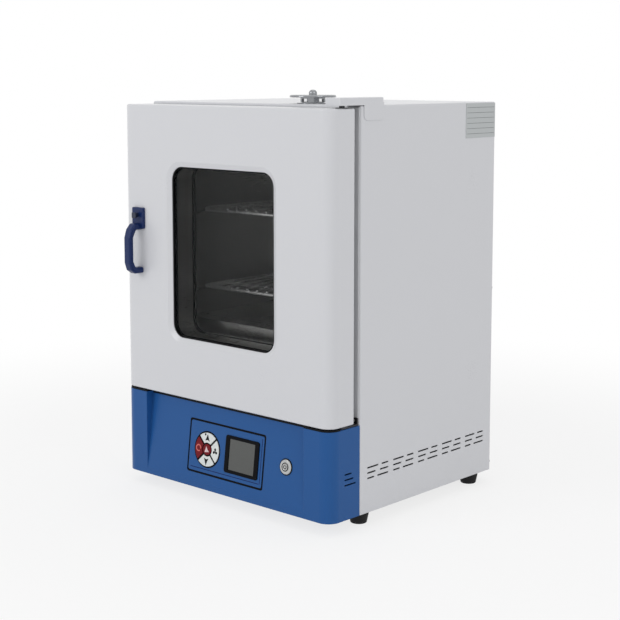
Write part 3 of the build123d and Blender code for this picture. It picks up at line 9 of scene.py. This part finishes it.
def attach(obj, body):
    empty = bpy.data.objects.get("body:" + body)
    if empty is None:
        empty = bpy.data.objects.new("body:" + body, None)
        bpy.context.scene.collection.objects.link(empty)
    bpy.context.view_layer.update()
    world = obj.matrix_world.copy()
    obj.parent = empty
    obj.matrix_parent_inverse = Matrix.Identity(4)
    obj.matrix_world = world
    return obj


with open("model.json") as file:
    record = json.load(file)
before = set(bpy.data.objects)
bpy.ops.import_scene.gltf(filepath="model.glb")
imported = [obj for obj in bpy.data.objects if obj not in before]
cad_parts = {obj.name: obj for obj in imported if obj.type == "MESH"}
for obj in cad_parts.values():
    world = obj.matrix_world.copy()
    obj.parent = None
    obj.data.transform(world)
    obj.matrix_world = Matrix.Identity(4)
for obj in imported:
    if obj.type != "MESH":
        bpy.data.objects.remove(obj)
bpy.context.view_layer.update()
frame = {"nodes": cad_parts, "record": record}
nodes = frame["nodes"]
print("frame loaded:", len(nodes), "pieces")


def paint(red, green, blue):
    # screen values 0-255 to the linear values a shader wants
    out = []
    for value in (red, green, blue):
        share = value / 255
        out.append(share / 12.92 if share <= 0.04045 else ((share + 0.055) / 1.055) ** 2.4)
    return out[0], out[1], out[2], 1.0


# ---- materials

# grain is the fine surface in features per metre, blotch the slow change of tone
defaultLook = {
    "color": paint(200, 200, 200),
    "tone": 0.03,
    "metal": 0.0,
    "rough": (0.35, 0.45),
    "grain": 800.0,
    "blotch": 9.0,
    "stretch": (1.0, 1.0, 1.0),
    "bump": 0.05,
    "bumpDepth": 0.0002,
    "edge": 0.0,
    "coat": 0.0,
    "coatRough": 0.05,
    "specular": 0.5,
}


def addNode(tree, kind, **settings):
    node = tree.nodes.new(kind)
    for key, value in settings.items():
        if key.startswith("in_"):
            name = key[3:]
            node.inputs[int(name) if name.isdigit() else name].default_value = value
        else:
            setattr(node, key, value)
    return node


def makeFinish(name, **look):
    look = {**defaultLook, **look}
    material = bpy.data.materials.new(name)
    material.use_nodes = True
    tree = material.node_tree
    link = tree.links.new
    shader = tree.nodes["Principled BSDF"]
    shader.inputs["Metallic"].default_value = look["metal"]
    shader.inputs["Coat Weight"].default_value = look["coat"]
    shader.inputs["Coat Roughness"].default_value = look["coatRough"]
    shader.inputs["Specular IOR Level"].default_value = look["specular"]

    place = addNode(tree, "ShaderNodeTexCoord")
    stretch = addNode(tree, "ShaderNodeMapping")
    stretch.inputs["Scale"].default_value = look["stretch"]
    link(place.outputs["Object"], stretch.inputs["Vector"])
    fine = addNode(tree, "ShaderNodeTexNoise", in_Scale=look["grain"], in_Detail=3.0)
    slow = addNode(tree, "ShaderNodeTexNoise", in_Scale=look["blotch"], in_Detail=4.0)
    link(stretch.outputs["Vector"], fine.inputs["Vector"])
    link(place.outputs["Object"], slow.inputs["Vector"])

    both = addNode(tree, "ShaderNodeMix", data_type="FLOAT", in_0=0.4)
    link(slow.outputs["Fac"], both.inputs[2])
    link(fine.outputs["Fac"], both.inputs[3])
    colors = addNode(tree, "ShaderNodeValToRGB")
    base = look["color"]
    colors.color_ramp.elements[0].position = 0.3
    colors.color_ramp.elements[1].position = 0.7
    colors.color_ramp.elements[0].color = [c * (1 - look["tone"]) for c in base[:3]] + [1]
    colors.color_ramp.elements[1].color = [min(1, c * (1 + look["tone"])) for c in base[:3]] + [1]
    link(both.outputs[0], colors.inputs["Fac"])
    link(colors.outputs["Color"], shader.inputs["Base Color"])

    rough = addNode(tree, "ShaderNodeMapRange", in_1=0.3, in_2=0.7)
    rough.inputs[3].default_value, rough.inputs[4].default_value = look["rough"]
    link(both.outputs[0], rough.inputs[0])
    link(rough.outputs[0], shader.inputs["Roughness"])

    bump = addNode(tree, "ShaderNodeBump", in_Strength=look["bump"], in_Distance=look["bumpDepth"])
    link(fine.outputs["Fac"], bump.inputs["Height"])
    if look["edge"]:
        edge = addNode(tree, "ShaderNodeBevel", samples=4, in_Radius=look["edge"])
        link(edge.outputs["Normal"], bump.inputs["Normal"])
    link(bump.outputs["Normal"], shader.inputs["Normal"])
    return material


def makeGlass(name, color, cover, rough):
    # a dark tint that covers a share of each face, so light still falls straight through
    material = bpy.data.materials.new(name)
    material.use_nodes = True
    tree = material.node_tree
    link = tree.links.new
    shader = tree.nodes["Principled BSDF"]
    shader.inputs["Specular IOR Level"].default_value = 0.6
    place = addNode(tree, "ShaderNodeTexCoord")
    film = addNode(tree, "ShaderNodeTexNoise", in_Scale=11.0, in_Detail=5.0)
    link(place.outputs["Object"], film.inputs["Vector"])
    smear = addNode(tree, "ShaderNodeMapRange", in_1=0.35, in_2=0.7)
    smear.inputs[3].default_value, smear.inputs[4].default_value = rough
    link(film.outputs["Fac"], smear.inputs[0])
    link(smear.outputs[0], shader.inputs["Roughness"])
    tint = addNode(tree, "ShaderNodeValToRGB")
    tint.color_ramp.elements[0].color = [c * 0.85 for c in color[:3]] + [1]
    tint.color_ramp.elements[1].color = color
    link(film.outputs["Fac"], tint.inputs["Fac"])
    link(tint.outputs["Color"], shader.inputs["Base Color"])
    veil = addNode(tree, "ShaderNodeMapRange", in_1=0.3, in_2=0.7)
    veil.inputs[3].default_value, veil.inputs[4].default_value = cover
    link(film.outputs["Fac"], veil.inputs[0])
    link(veil.outputs[0], shader.inputs["Alpha"])
    return material


finishes = {
    "cabinet_paint": makeFinish(
        "white powder coat", color=paint(222, 223, 227), tone=0.004, rough=(0.27, 0.31),
        grain=520, bump=0.12, bumpDepth=0.00018, edge=0.0008, coat=0.12, coatRough=0.2,
    ),
    "fascia_blue": makeFinish(
        "blue powder coat", color=paint(36, 90, 154), tone=0.012, rough=(0.3, 0.36),
        grain=560, bump=0.12, bumpDepth=0.00018, edge=0.0008, specular=0.22,
    ),
    "stainless": makeFinish(
        "brushed stainless", color=paint(176, 176, 174), tone=0.06, metal=1.0,
        rough=(0.24, 0.38), grain=900, stretch=(1.0, 0.04, 1.0), bump=0.12,
        bumpDepth=0.00006, blotch=5,
    ),
    "shelf_wire": makeFinish(
        "polished wire", color=paint(232, 233, 233), tone=0.03, metal=0.75,
        rough=(0.2, 0.34), grain=700, bump=0.06, bumpDepth=0.00005,
    ),
    "heater_sheath": makeFinish(
        "heat blued sheath", color=paint(112, 96, 86), tone=0.22, metal=0.9,
        rough=(0.32, 0.5), grain=500, blotch=28, bump=0.1, bumpDepth=0.00008,
    ),
    "zinc_plate": makeFinish(
        "zinc plated steel", color=paint(150, 152, 152), tone=0.09, metal=1.0,
        rough=(0.36, 0.55), grain=260, blotch=40, bump=0.1, bumpDepth=0.0001,
    ),
    # dark steel on the hinge parts: a darkened colour, painted shade for the shadow in the hinge
    # gaps
    "hinge_steel": makeFinish(
        "dark steel painted shade", color=paint(74, 74, 76), tone=0.1, metal=1.0,
        rough=(0.36, 0.52), grain=1600, bump=0.12, bumpDepth=0.0001,
    ),
    "foot_rubber": makeFinish(
        "foot rubber", color=paint(21, 21, 22), tone=0.16, rough=(0.6, 0.78),
        grain=1500, bump=0.25, bumpDepth=0.0003, specular=0.3,
    ),
    "silicone_grey": makeFinish(
        "grey silicone", color=paint(122, 124, 128), tone=0.05, rough=(0.42, 0.56),
        grain=900, bump=0.15, bumpDepth=0.0002,
    ),
    "seal_black": makeFinish(
        "black glazing rubber", color=paint(16, 17, 19), tone=0.12, rough=(0.4, 0.55),
        grain=1200, bump=0.15, bumpDepth=0.0002, specular=0.1,
    ),
    "window_glass": makeGlass("tempered glass", paint(28, 31, 33), (0.095, 0.11), (0.02, 0.05)),
    "wool": makeFinish(
        "mineral wool", color=paint(196, 184, 138), tone=0.2, rough=(0.9, 1.0),
        grain=420, bump=0.8, bumpDepth=0.002, specular=0.1,
    ),
    "chrome": makeFinish(
        "bright chrome", color=paint(142, 144, 147), tone=0.03, metal=1.0,
        rough=(0.1, 0.2), grain=500, bump=0.03, bumpDepth=0.00005, edge=0.0004,
    ),
    "black_plastic": makeFinish(
        "black moulding", color=paint(9, 10, 14), tone=0.12, rough=(0.34, 0.46),
        grain=1800, bump=0.14, bumpDepth=0.00012, edge=0.0003, specular=0.06,
    ),
    "display_grey": makeFinish(
        "display window", color=paint(58, 61, 58), tone=0.05, rough=(0.07, 0.12),
        grain=300, bump=0.01, bumpDepth=0.00005, coat=0.7, coatRough=0.04,
    ),
    "key_white": makeFinish(
        "white key", color=paint(234, 238, 236), tone=0.015, rough=(0.32, 0.42),
        grain=1600, bump=0.08, bumpDepth=0.0001, edge=0.0005,
    ),
    "key_red": makeFinish(
        "red key", color=paint(122, 16, 28), tone=0.05, rough=(0.3, 0.4),
        grain=1600, bump=0.08, bumpDepth=0.0001, edge=0.0005, specular=0.15,
    ),
    "switch_steel": makeFinish(
        "turned steel", color=paint(186, 187, 186), tone=0.04, metal=1.0,
        rough=(0.14, 0.26), grain=1500, bump=0.08, bumpDepth=0.00005, edge=0.0004,
    ),
    "board_green": makeFinish(
        "solder mask", color=paint(22, 82, 44), tone=0.1, rough=(0.25, 0.4),
        grain=1500, bump=0.2, bumpDepth=0.0001,
    ),
    "relay_body": makeFinish(
        "relay moulding", color=paint(96, 97, 100), tone=0.06, rough=(0.4, 0.52),
        grain=1400, bump=0.12, bumpDepth=0.0001,
    ),
    "handle_navy": makeFinish(
        "navy handle moulding", color=paint(14, 38, 88), tone=0.05, rough=(0.3, 0.42),
        grain=1300, bump=0.12, bumpDepth=0.00015, edge=0.0006, specular=0.3,
    ),
    "button_dark": makeFinish(
        "dark thumb button", color=paint(22, 32, 58), tone=0.08, rough=(0.28, 0.4),
        grain=1300, bump=0.1, bumpDepth=0.00012, edge=0.0005,
    ),
}

slotOf = {entry["node"]: entry["material_slot"] for entry in frame["record"]["subparts"]}
for nodeName, node in nodes.items():
    node.data.materials.clear()
    # both hinge arms take the dark hinge steel, as the bushes on them do: painted shade for the
    # dark gaps round the hinges
    shadedArm = nodeName in ("upper_hinge_arm", "lower_hinge_arm")
    node.data.materials.append(finishes["hinge_steel" if shadedArm else slotOf[nodeName]])
print("finishes:", len(finishes))

# ---- small pieces made here: printed symbols, painted shade marks, screws, plate


def makePiece(name, body, slotName, vertices, faces, finish=None):
    mesh = bpy.data.meshes.new(name)
    mesh.from_pydata(vertices, [], faces)
    mesh.validate()
    tidy = bmesh.new()
    tidy.from_mesh(mesh)
    bmesh.ops.recalc_face_normals(tidy, faces=tidy.faces)
    tidy.to_mesh(mesh)
    tidy.free()
    mesh.materials.append(finish or finishes[slotName])
    piece = bpy.data.objects.new(name, mesh)
    bpy.context.scene.collection.objects.link(piece)
    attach(piece, body)
    return piece


def placed(origin, right, up):
    # a place whose x and y point right and up, and whose z points out of the surface
    out = Vector(right).cross(Vector(up))
    return Matrix.Translation(origin) @ Matrix((right, up, out)).transposed().to_4x4()


def slabs(outlines, thickness):
    # one closed slab on each flat outline, all in one mesh
    vertices, faces = [], []
    for outline in outlines:
        first = len(vertices)
        count = len(outline)
        vertices += [(x, y, 0.0) for x, y in outline] + [(x, y, thickness) for x, y in outline]
        faces.append([first + i for i in reversed(range(count))])
        faces.append([first + count + i for i in range(count)])
        for i in range(count):
            j = (i + 1) % count
            faces.append([first + i, first + j, first + count + j, first + count + i])
    return vertices, faces


def ringOutlines(inner, outer, start, end, steps):
    # a flat ring from start to end degrees, as a row of quads
    angles = [math.radians(start + (end - start) * i / steps) for i in range(steps + 1)]
    corners = [
        ((inner, a), (outer, a), (outer, b), (inner, b)) for a, b in zip(angles, angles[1:])
    ]
    return [[(r * math.cos(t), r * math.sin(t)) for r, t in quad] for quad in corners]


def rectangle(x, y, width, height):
    return [
        (x - width / 2, y - height / 2), (x + width / 2, y - height / 2),
        (x + width / 2, y + height / 2), (x - width / 2, y + height / 2),
    ]


def inMetres(outlines):
    # outlines drawn in millimetres
    return [[(x / 1000, y / 1000) for x, y in outline] for outline in outlines]


def addSlabs(name, body, slotName, place, outlines, thickness, finish=None):
    vertices, faces = slabs(outlines, thickness)
    return makePiece(name, body, slotName, [place @ Vector(v) for v in vertices], faces, finish)


slopeLook = {"y": -0.184, "z": 0.029, "rise": 15 / 126}


def onSlope(x, z, proud):
    # a place on the sloping face of the fascia
    angle = math.atan(slopeLook["rise"])
    up = Vector((0, math.sin(angle), math.cos(angle)))
    out = Vector((1, 0, 0)).cross(up)
    origin = Vector((x, slopeLook["y"] + (z - slopeLook["z"]) * slopeLook["rise"], z))
    return placed(origin + out * proud, (1, 0, 0), up)


inkLook = {
    "dark": ("black_plastic", paint(16, 17, 20)),
    "pale": ("key_white", paint(238, 214, 216)),
    "coral": ("key_red", paint(226, 122, 116)),
    "violet": ("fascia_blue", paint(24, 34, 86)),
    "grey": ("black_plastic", paint(120, 124, 126)),
}
inks = {
    name: makeFinish(
        name + " ink", color=color, tone=0.06, rough=(0.38, 0.5), grain=2500, bump=0.06,
        specular=0.1,
    )
    for name, (slotName, color) in inkLook.items()
}
keypadLook = {"x": -0.0375, "z": 0.083, "reach": 0.0185, "proud": 0.00125, "ink": 0.00012}
arrow = [(0, 6.0), (2.2, 0.4), (5.0, -5.2), (0, -3.2), (-5.0, -5.2), (-2.2, 0.4)]


def fanBlade(turn):
    shape = ((0.4, -60), (3.6, -40), (5.4, -8), (5.0, 24), (2.8, 42), (0.4, 60))
    points = [(r, math.radians(a + turn)) for r, a in shape]
    return [(r * math.cos(t), r * math.sin(t)) for r, t in points]


# key: the symbol's ink, where the key lies in degrees (None is the middle), outlines in mm
keySymbols = {
    "key_up": ("dark", 90, [arrow, rectangle(-5.0, 4.6, 2.8, 3.2)]),
    "key_down": ("dark", 270, [[(x, -y) for x, y in arrow]]),
    "key_right": ("dark", 0, [fanBlade(90), fanBlade(210), fanBlade(330)]),
    "key_left": ("coral", 180, ringOutlines(3.8, 5.7, -10, 310, 30)),
    "key_centre": (
        "pale", None,
        [
            [(-4.6, -4.4), (0.0, -4.0), (1.4, 0.6), (-1.4, 5.2)],
            [(0.8, -3.6), (5.0, -3.2), (1.9, 0.8)],
        ],
    ),
}
for key, (ink, angle, outlines) in keySymbols.items():
    place = onSlope(keypadLook["x"], keypadLook["z"], keypadLook["proud"])
    if angle is not None:
        turn = math.radians(angle)
        place = place @ Matrix.Translation(
            (keypadLook["reach"] * math.cos(turn), keypadLook["reach"] * math.sin(turn), 0)
        )
    addSlabs(
        key + "_symbol", key, inkLook[ink][0], place, inMetres(outlines), keypadLook["ink"],
        inks[ink],
    )

# a fine dark line inside the insert's lower and right edges: painted shade along those edges
insertShadeLook = {
    "x": 0.003, "z": 0.085, "right": 0.0755, "line": 0.0011, "drop": 0.0335, "top": 0.0350,
    "ink": 0.00008,
}
addSlabs(
    "insert_edge_shade", "cabinet", "fascia_blue", onSlope(insertShadeLook["x"], insertShadeLook["z"], 0.0),
    [
        rectangle(
            -insertShadeLook["line"] / 2, -insertShadeLook["drop"],
            2 * insertShadeLook["right"] - insertShadeLook["line"], insertShadeLook["line"],
        ),
        rectangle(
            insertShadeLook["right"] + insertShadeLook["line"] / 2,
            (insertShadeLook["top"] - insertShadeLook["drop"]) / 2, insertShadeLook["line"],
            insertShadeLook["top"] + insertShadeLook["drop"],
        ),
    ],
    insertShadeLook["ink"], inks["violet"],
)

# a power symbol on the push switch; a dark rim on it, painted shade in the gap round the button;
# and a black ring round its bezel, painted shade where the bezel's shadow falls
buttonLook = {
    "x": 0.131, "z": 0.088, "proud": 0.0030, "ink": 0.00006, "washer": 0.0007,
    "symbolRing": (1.9, 3.2), "gapShade": (5.2, 6.5), "washerRing": (11.3, 12.6),
}
# the power symbol is print; the dark rim round the button is painted shade
buttonSymbolAndShade = (
    ringOutlines(*buttonLook["symbolRing"], -235, 55, 24) + [rectangle(0, 2.7, 1.2, 3.0)]
    + ringOutlines(*buttonLook["gapShade"], 0, 360, 40)
)
# black ring just outside the bezel: painted shade
addSlabs(
    "switch_washer", "cabinet", "seal_black", onSlope(buttonLook["x"], buttonLook["z"], 0.0),
    inMetres(ringOutlines(*buttonLook["washerRing"], 0, 360, 48)), buttonLook["washer"],
)
addSlabs(
    "switch_symbol_and_shade", "switch_button", "black_plastic",
    onSlope(buttonLook["x"], buttonLook["z"], buttonLook["proud"]),
    inMetres(buttonSymbolAndShade), buttonLook["ink"], inks["dark"],
)

# a silver plate high on the right side, with plain ruled lines
plateLook = {
    "x": 0.22302, "y": 0.1715, "z": 0.5915, "width": 0.077, "height": 0.054,
    "thickness": 0.0005, "rules": 6, "rule": 0.0006, "margin": 0.0025, "ink": 0.00006,
}
plateFinish = makeFinish(
    "anodised plate", color=paint(190, 194, 195), tone=0.02, metal=0.2, rough=(0.3, 0.4),
    grain=700, stretch=(1.0, 0.05, 1.0), bump=0.08, bumpDepth=0.00006,
)


def onPlate(proud):
    origin = (plateLook["x"] + proud, plateLook["y"], plateLook["z"])
    return placed(origin, (0, 1, 0), (0, 0, 1))


addSlabs(
    "side_plate", "cabinet", "stainless", onPlate(0.0),
    [rectangle(0, 0, plateLook["width"], plateLook["height"])], plateLook["thickness"],
    plateFinish,
)
lineSpan = plateLook["width"] - 2 * plateLook["margin"]
lineStep = (plateLook["height"] - 2 * plateLook["margin"]) / plateLook["rules"]
addSlabs(
    "side_plate_rules", "cabinet", "black_plastic", onPlate(plateLook["thickness"]),
    [
        rectangle(0, (row - (plateLook["rules"] - 1) / 2) * lineStep, lineSpan, plateLook["rule"])
        for row in range(plateLook["rules"])
    ],
    plateLook["ink"], inks["grey"],
)

# black sheets inside the ventilation slots, painted shade for the dark inside of the cabinet:
# middle y and z, width, height
slotShadeLook = {
    "x": 0.2188, "thickness": 0.0008,
    "areas": {"side": (0.045, 0.080, 0.300, 0.032), "fascia": (-0.139, 0.080, 0.034, 0.028)},
}
for side, label in ((-1, "left"), (1, "right")):
    for area, (y, z, width, height) in slotShadeLook["areas"].items():
        addSlabs(
            f"{area}_slot_shade_{label}", "cabinet", "black_plastic",
            placed((side * slotShadeLook["x"], y, z), (0, side, 0), (0, 0, 1)),
            [rectangle(0, 0, width, height)], slotShadeLook["thickness"],
        )

# black strip between fascia and door, painted shade from the door's overhang: it lies along the
# fascia's top edge
doorShadowLook = {
    "z": 0.155, "height": 0.0027, "cheek": 0.172, "side": 0.2224, "front": -0.1834,
    "sunk": -0.1688, "corner": 0.203, "cornerY": -0.164, "left": -0.120, "right": -0.160,
    "depth": 0.004, "faceZ": 0.1530, "faceHeight": 0.0036, "faceThickness": 0.0004,
}


def doorShadowPath(inset):
    # plan line along the edge, from the left rear round both corners to the right
    look = doorShadowLook
    radius = look["side"] - look["corner"] - inset
    cheek, front, sunk = look["cheek"] + inset, look["front"] + inset, look["sunk"] + inset
    bends = [math.radians(15 * i) for i in range(7)]
    across = [(look["corner"] + radius * math.cos(t)) for t in bends]
    along = [look["cornerY"] - radius * math.sin(t) for t in bends]
    points = [(-look["side"] + inset, look["left"])]
    points += [(-x, y) for x, y in zip(across, along)]
    points += [(-cheek, front), (-cheek, sunk), (cheek, sunk), (cheek, front)]
    points += [(x, y) for x, y in zip(across[::-1], along[::-1])]
    return points + [(look["side"] - inset, look["right"])]


addSlabs(
    "door_shadow_strip", "cabinet", "seal_black",
    placed((0, 0, doorShadowLook["z"]), (1, 0, 0), (0, 1, 0)),
    [doorShadowPath(0) + doorShadowPath(doorShadowLook["depth"])[::-1]], doorShadowLook["height"],
)
# a thin black strip on the slope just under the top edge: painted shade under the door's overhang
addSlabs(
    "door_shadow_face", "cabinet", "seal_black", onSlope(0, doorShadowLook["faceZ"], 0.0),
    [rectangle(0, 0, 2 * doorShadowLook["cheek"], doorShadowLook["faceHeight"])], doorShadowLook["faceThickness"],
)


def addScrew(name, body, place, radius, height, slotName="zinc_plate"):
    # a low domed head with a flat dark cross on its top, painted shade for the cross recess
    profile = [(1.0, 0.0), (1.0, 0.35), (0.8, 0.8), (0.5, 1.0)]
    steps = 24
    turns = [2 * math.pi * i / steps for i in range(steps)]
    vertices = [
        (radius * out * math.cos(t), radius * out * math.sin(t), height * rise)
        for out, rise in profile for t in turns
    ]
    faces = []
    for row in range(len(profile) - 1):
        low, high = row * steps, (row + 1) * steps
        for i in range(steps):
            j = (i + 1) % steps
            faces.append([low + i, low + j, high + j, high + i])
    faces.append([(len(profile) - 1) * steps + i for i in range(steps)])
    faces.append(list(reversed(range(steps))))
    makePiece(name, body, slotName, [place @ Vector(v) for v in vertices], faces)
    addCrossShade(name + "_recess", body, place @ Matrix.Translation((0, 0, height)), radius * 0.9)


# a flat dark cross: painted shade for a screw's cross recess
def addCrossShade(name, body, place, size):
    arm = size * 0.24
    outline = [
        (arm, arm), (size, arm), (size, -arm), (arm, -arm), (arm, -size), (-arm, -size),
        (-arm, -arm), (-size, -arm), (-size, arm), (-arm, arm), (-arm, size), (arm, size),
    ]
    outline = [(x / 2, y / 2) for x, y in outline]
    addSlabs(name, body, "black_plastic", place, [outline], screwLook["ink"], inks["dark"])


screwLook = {
    "rearHead": 0.2154, "rearX": 0.216, "rearRows": (0.032, 0.320, 0.613), "rearCross": 0.0042,
    "inletX": 0.140, "inletReach": 0.020, "inletY": 0.2157, "inletZ": 0.068,
    "inletHead": (0.0026, 0.0004), "ink": 0.00006,
}
back = (-1, 0, 0), (0, 0, 1)
for side in (-1, 1):
    for row, z in enumerate(screwLook["rearRows"]):
        # the rear screws get only the dark cross: painted shade for their recesses
        addCrossShade(
            f"rear_screw_recess_{row}_{side}", "cabinet",
            placed((side * screwLook["rearX"], screwLook["rearHead"], z), *back),
            screwLook["rearCross"],
        )
    inletX = screwLook["inletX"] + side * screwLook["inletReach"]
    addScrew(
        f"inlet_screw_{side}", "cabinet",
        placed((inletX, screwLook["inletY"], screwLook["inletZ"]), *back),
        *screwLook["inletHead"],
    )

# what the screws sit on: body, right, up, head radius and height, places
forward = (1, 0, 0), (0, 0, 1)
intoRight, intoLeft = ((0, 1, 0), (0, 0, 1)), ((0, -1, 0), (0, 0, 1))
upward = (1, 0, 0), (0, 1, 0)
screwRows = {
    "strike": (
        "cabinet", forward, 0.0026, 0.0005, [(-0.183, -0.1207, z) for z in (0.3925, 0.4315)],
    ),
    "flange": (
        "cabinet", forward, 0.0028, 0.0008,
        [(x, -0.1202, z) for x in (-0.165, 0.165) for z in (0.235, 0.390, 0.545)]
        + [(x, -0.1202, z) for x in (-0.085, 0.085) for z in (0.208, 0.572)],
    ),
    "hinge_leg": (
        "cabinet", forward, 0.0023, 0.0007, [(x, -0.1216, 0.162) for x in (0.200, 0.214)],
    ),
    "inner_panel": (
        "door", back, 0.0030, 0.0009,
        [(x, -0.132, z) for x in (-0.187, 0.187) for z in (0.205, 0.325, 0.572)]
        + [(x, -0.132, z) for x in (-0.075, 0.075) for z in (0.198, 0.578)],
    ),
    "left_rail": (
        "cabinet", intoRight, 0.0026, 0.0006,
        [(-0.150, y, z) for y in (-0.094, 0.108) for z in (0.299, 0.5144)],
    ),
    "right_rail": (
        "cabinet", intoLeft, 0.0026, 0.0006,
        [(0.150, y, z) for y in (-0.094, 0.108) for z in (0.299, 0.5144)],
    ),
    "heater_cover": (
        "cabinet", upward, 0.0028, 0.0007,
        [(x, y, 0.272) for x in (-0.142, 0.142) for y in (-0.075, 0.100)],
    ),
}
for row, (body, facing, radius, height, places) in screwRows.items():
    for count, origin in enumerate(places):
        addScrew(f"{row}_screw_{count}", body, placed(origin, *facing), radius, height)
print("small pieces ready")

# ---- stage and light

stageLook = {
    "floor": paint(251, 251, 251), "glow": (0.76, 1.0), "fadeStart": 0.5, "fadeEnd": 1.4,
    "half": 12.0,
}


def straightRays(tree):
    # one for what the camera sees directly, in a reflection or through glass
    rays = addNode(tree, "ShaderNodeLightPath")
    total = None
    for kind in ("Is Camera Ray", "Is Glossy Ray", "Is Transmission Ray"):
        if total is None:
            total = rays.outputs[kind]
            continue
        larger = addNode(tree, "ShaderNodeMath", operation="MAXIMUM")
        tree.links.new(total, larger.inputs[0])
        tree.links.new(rays.outputs[kind], larger.inputs[1])
        total = larger.outputs[0]
    return total


def makeFloor():
    material = bpy.data.materials.new("pale floor")
    material.use_nodes = True
    tree = material.node_tree
    link = tree.links.new
    shader = tree.nodes["Principled BSDF"]
    shader.inputs["Base Color"].default_value = stageLook["floor"]
    shader.inputs["Roughness"].default_value = 0.9
    shader.inputs["Specular IOR Level"].default_value = 0.1
    glow = addNode(tree, "ShaderNodeEmission", in_Strength=1.0)
    place = addNode(tree, "ShaderNodeTexCoord")
    reach = addNode(tree, "ShaderNodeVectorMath", operation="LENGTH")
    link(place.outputs["Object"], reach.inputs[0])
    fade = addNode(tree, "ShaderNodeMapRange", interpolation_type="SMOOTHSTEP")
    fade.inputs[1].default_value = stageLook["fadeStart"]
    fade.inputs[2].default_value = stageLook["fadeEnd"]
    fade.inputs[3].default_value, fade.inputs[4].default_value = stageLook["glow"]
    link(reach.outputs["Value"], fade.inputs[0])
    share = addNode(tree, "ShaderNodeMath", operation="MULTIPLY")
    link(straightRays(tree), share.inputs[0])
    link(fade.outputs[0], share.inputs[1])
    pick = addNode(tree, "ShaderNodeMixShader")
    link(share.outputs[0], pick.inputs[0])
    link(shader.outputs[0], pick.inputs[1])
    link(glow.outputs[0], pick.inputs[2])
    link(pick.outputs[0], tree.nodes["Material Output"].inputs["Surface"])
    half = stageLook["half"]
    mesh = bpy.data.meshes.new("floor")
    corners = [(-half, -half, 0), (half, -half, 0), (half, half, 0), (-half, half, 0)]
    mesh.from_pydata(corners, [], [(0, 1, 2, 3)])
    floor = bpy.data.objects.new("floor", mesh)
    mesh.materials.append(material)
    bpy.context.scene.collection.objects.link(floor)


worldLook = {"room": (1.0, 1.0, 1.0, 1.0), "strength": 0.55}


def makeWorld():
    world = bpy.data.worlds.new("studio")
    bpy.context.scene.world = world
    world.use_nodes = True
    tree = world.node_tree
    link = tree.links.new
    room = tree.nodes["Background"]
    room.inputs["Color"].default_value = worldLook["room"]
    room.inputs["Strength"].default_value = worldLook["strength"]
    white = addNode(tree, "ShaderNodeBackground", in_Color=(1, 1, 1, 1), in_Strength=1.0)
    pick = addNode(tree, "ShaderNodeMixShader")
    link(straightRays(tree), pick.inputs[0])
    link(room.outputs[0], pick.inputs[1])
    link(white.outputs[0], pick.inputs[2])
    link(pick.outputs[0], tree.nodes["World Output"].inputs["Surface"])


# name: place, what it points at, size, watts
lampLook = {
    "soft box left": ((-0.9, -2.7, 1.6), (0, -0.1, 0.35), 1.4, 18.5),
    "soft box right": ((2.6, -0.6, 1.5), (0.1, 0, 0.3), 1.4, 9.0),
    "overhead": ((0.1, 0.2, 2.6), (0, 0, 0.3), 1.8, 5.0),
}


def makeLamps():
    for name, (place, target, size, watts) in lampLook.items():
        data = bpy.data.lights.new(name, "AREA")
        data.size = size
        data.energy = watts
        lamp = bpy.data.objects.new(name, data)
        lamp.location = place
        lamp.rotation_euler = (Vector(target) - Vector(place)).to_track_quat("-Z", "Y").to_euler()
        bpy.context.scene.collection.objects.link(lamp)


cameraLook = {
    "place": (1.5105, -1.6304, 0.6679), "yaw": 42.5, "pitch": 6.72, "lens": 80.95, "shift": -0.12
}


def makeCamera():
    data = bpy.data.cameras.new("camera")
    data.sensor_width = 36.0
    data.lens = cameraLook["lens"]
    data.shift_y = cameraLook["shift"]
    camera = bpy.data.objects.new("camera", data)
    camera.location = cameraLook["place"]
    camera.rotation_euler = (
        math.radians(90 - cameraLook["pitch"]), 0, math.radians(cameraLook["yaw"])
    )
    bpy.context.scene.collection.objects.link(camera)
    bpy.context.scene.camera = camera


makeFloor()
makeWorld()
makeLamps()
makeCamera()
bpy.context.scene.view_settings.view_transform = "Standard"
print("stage ready")
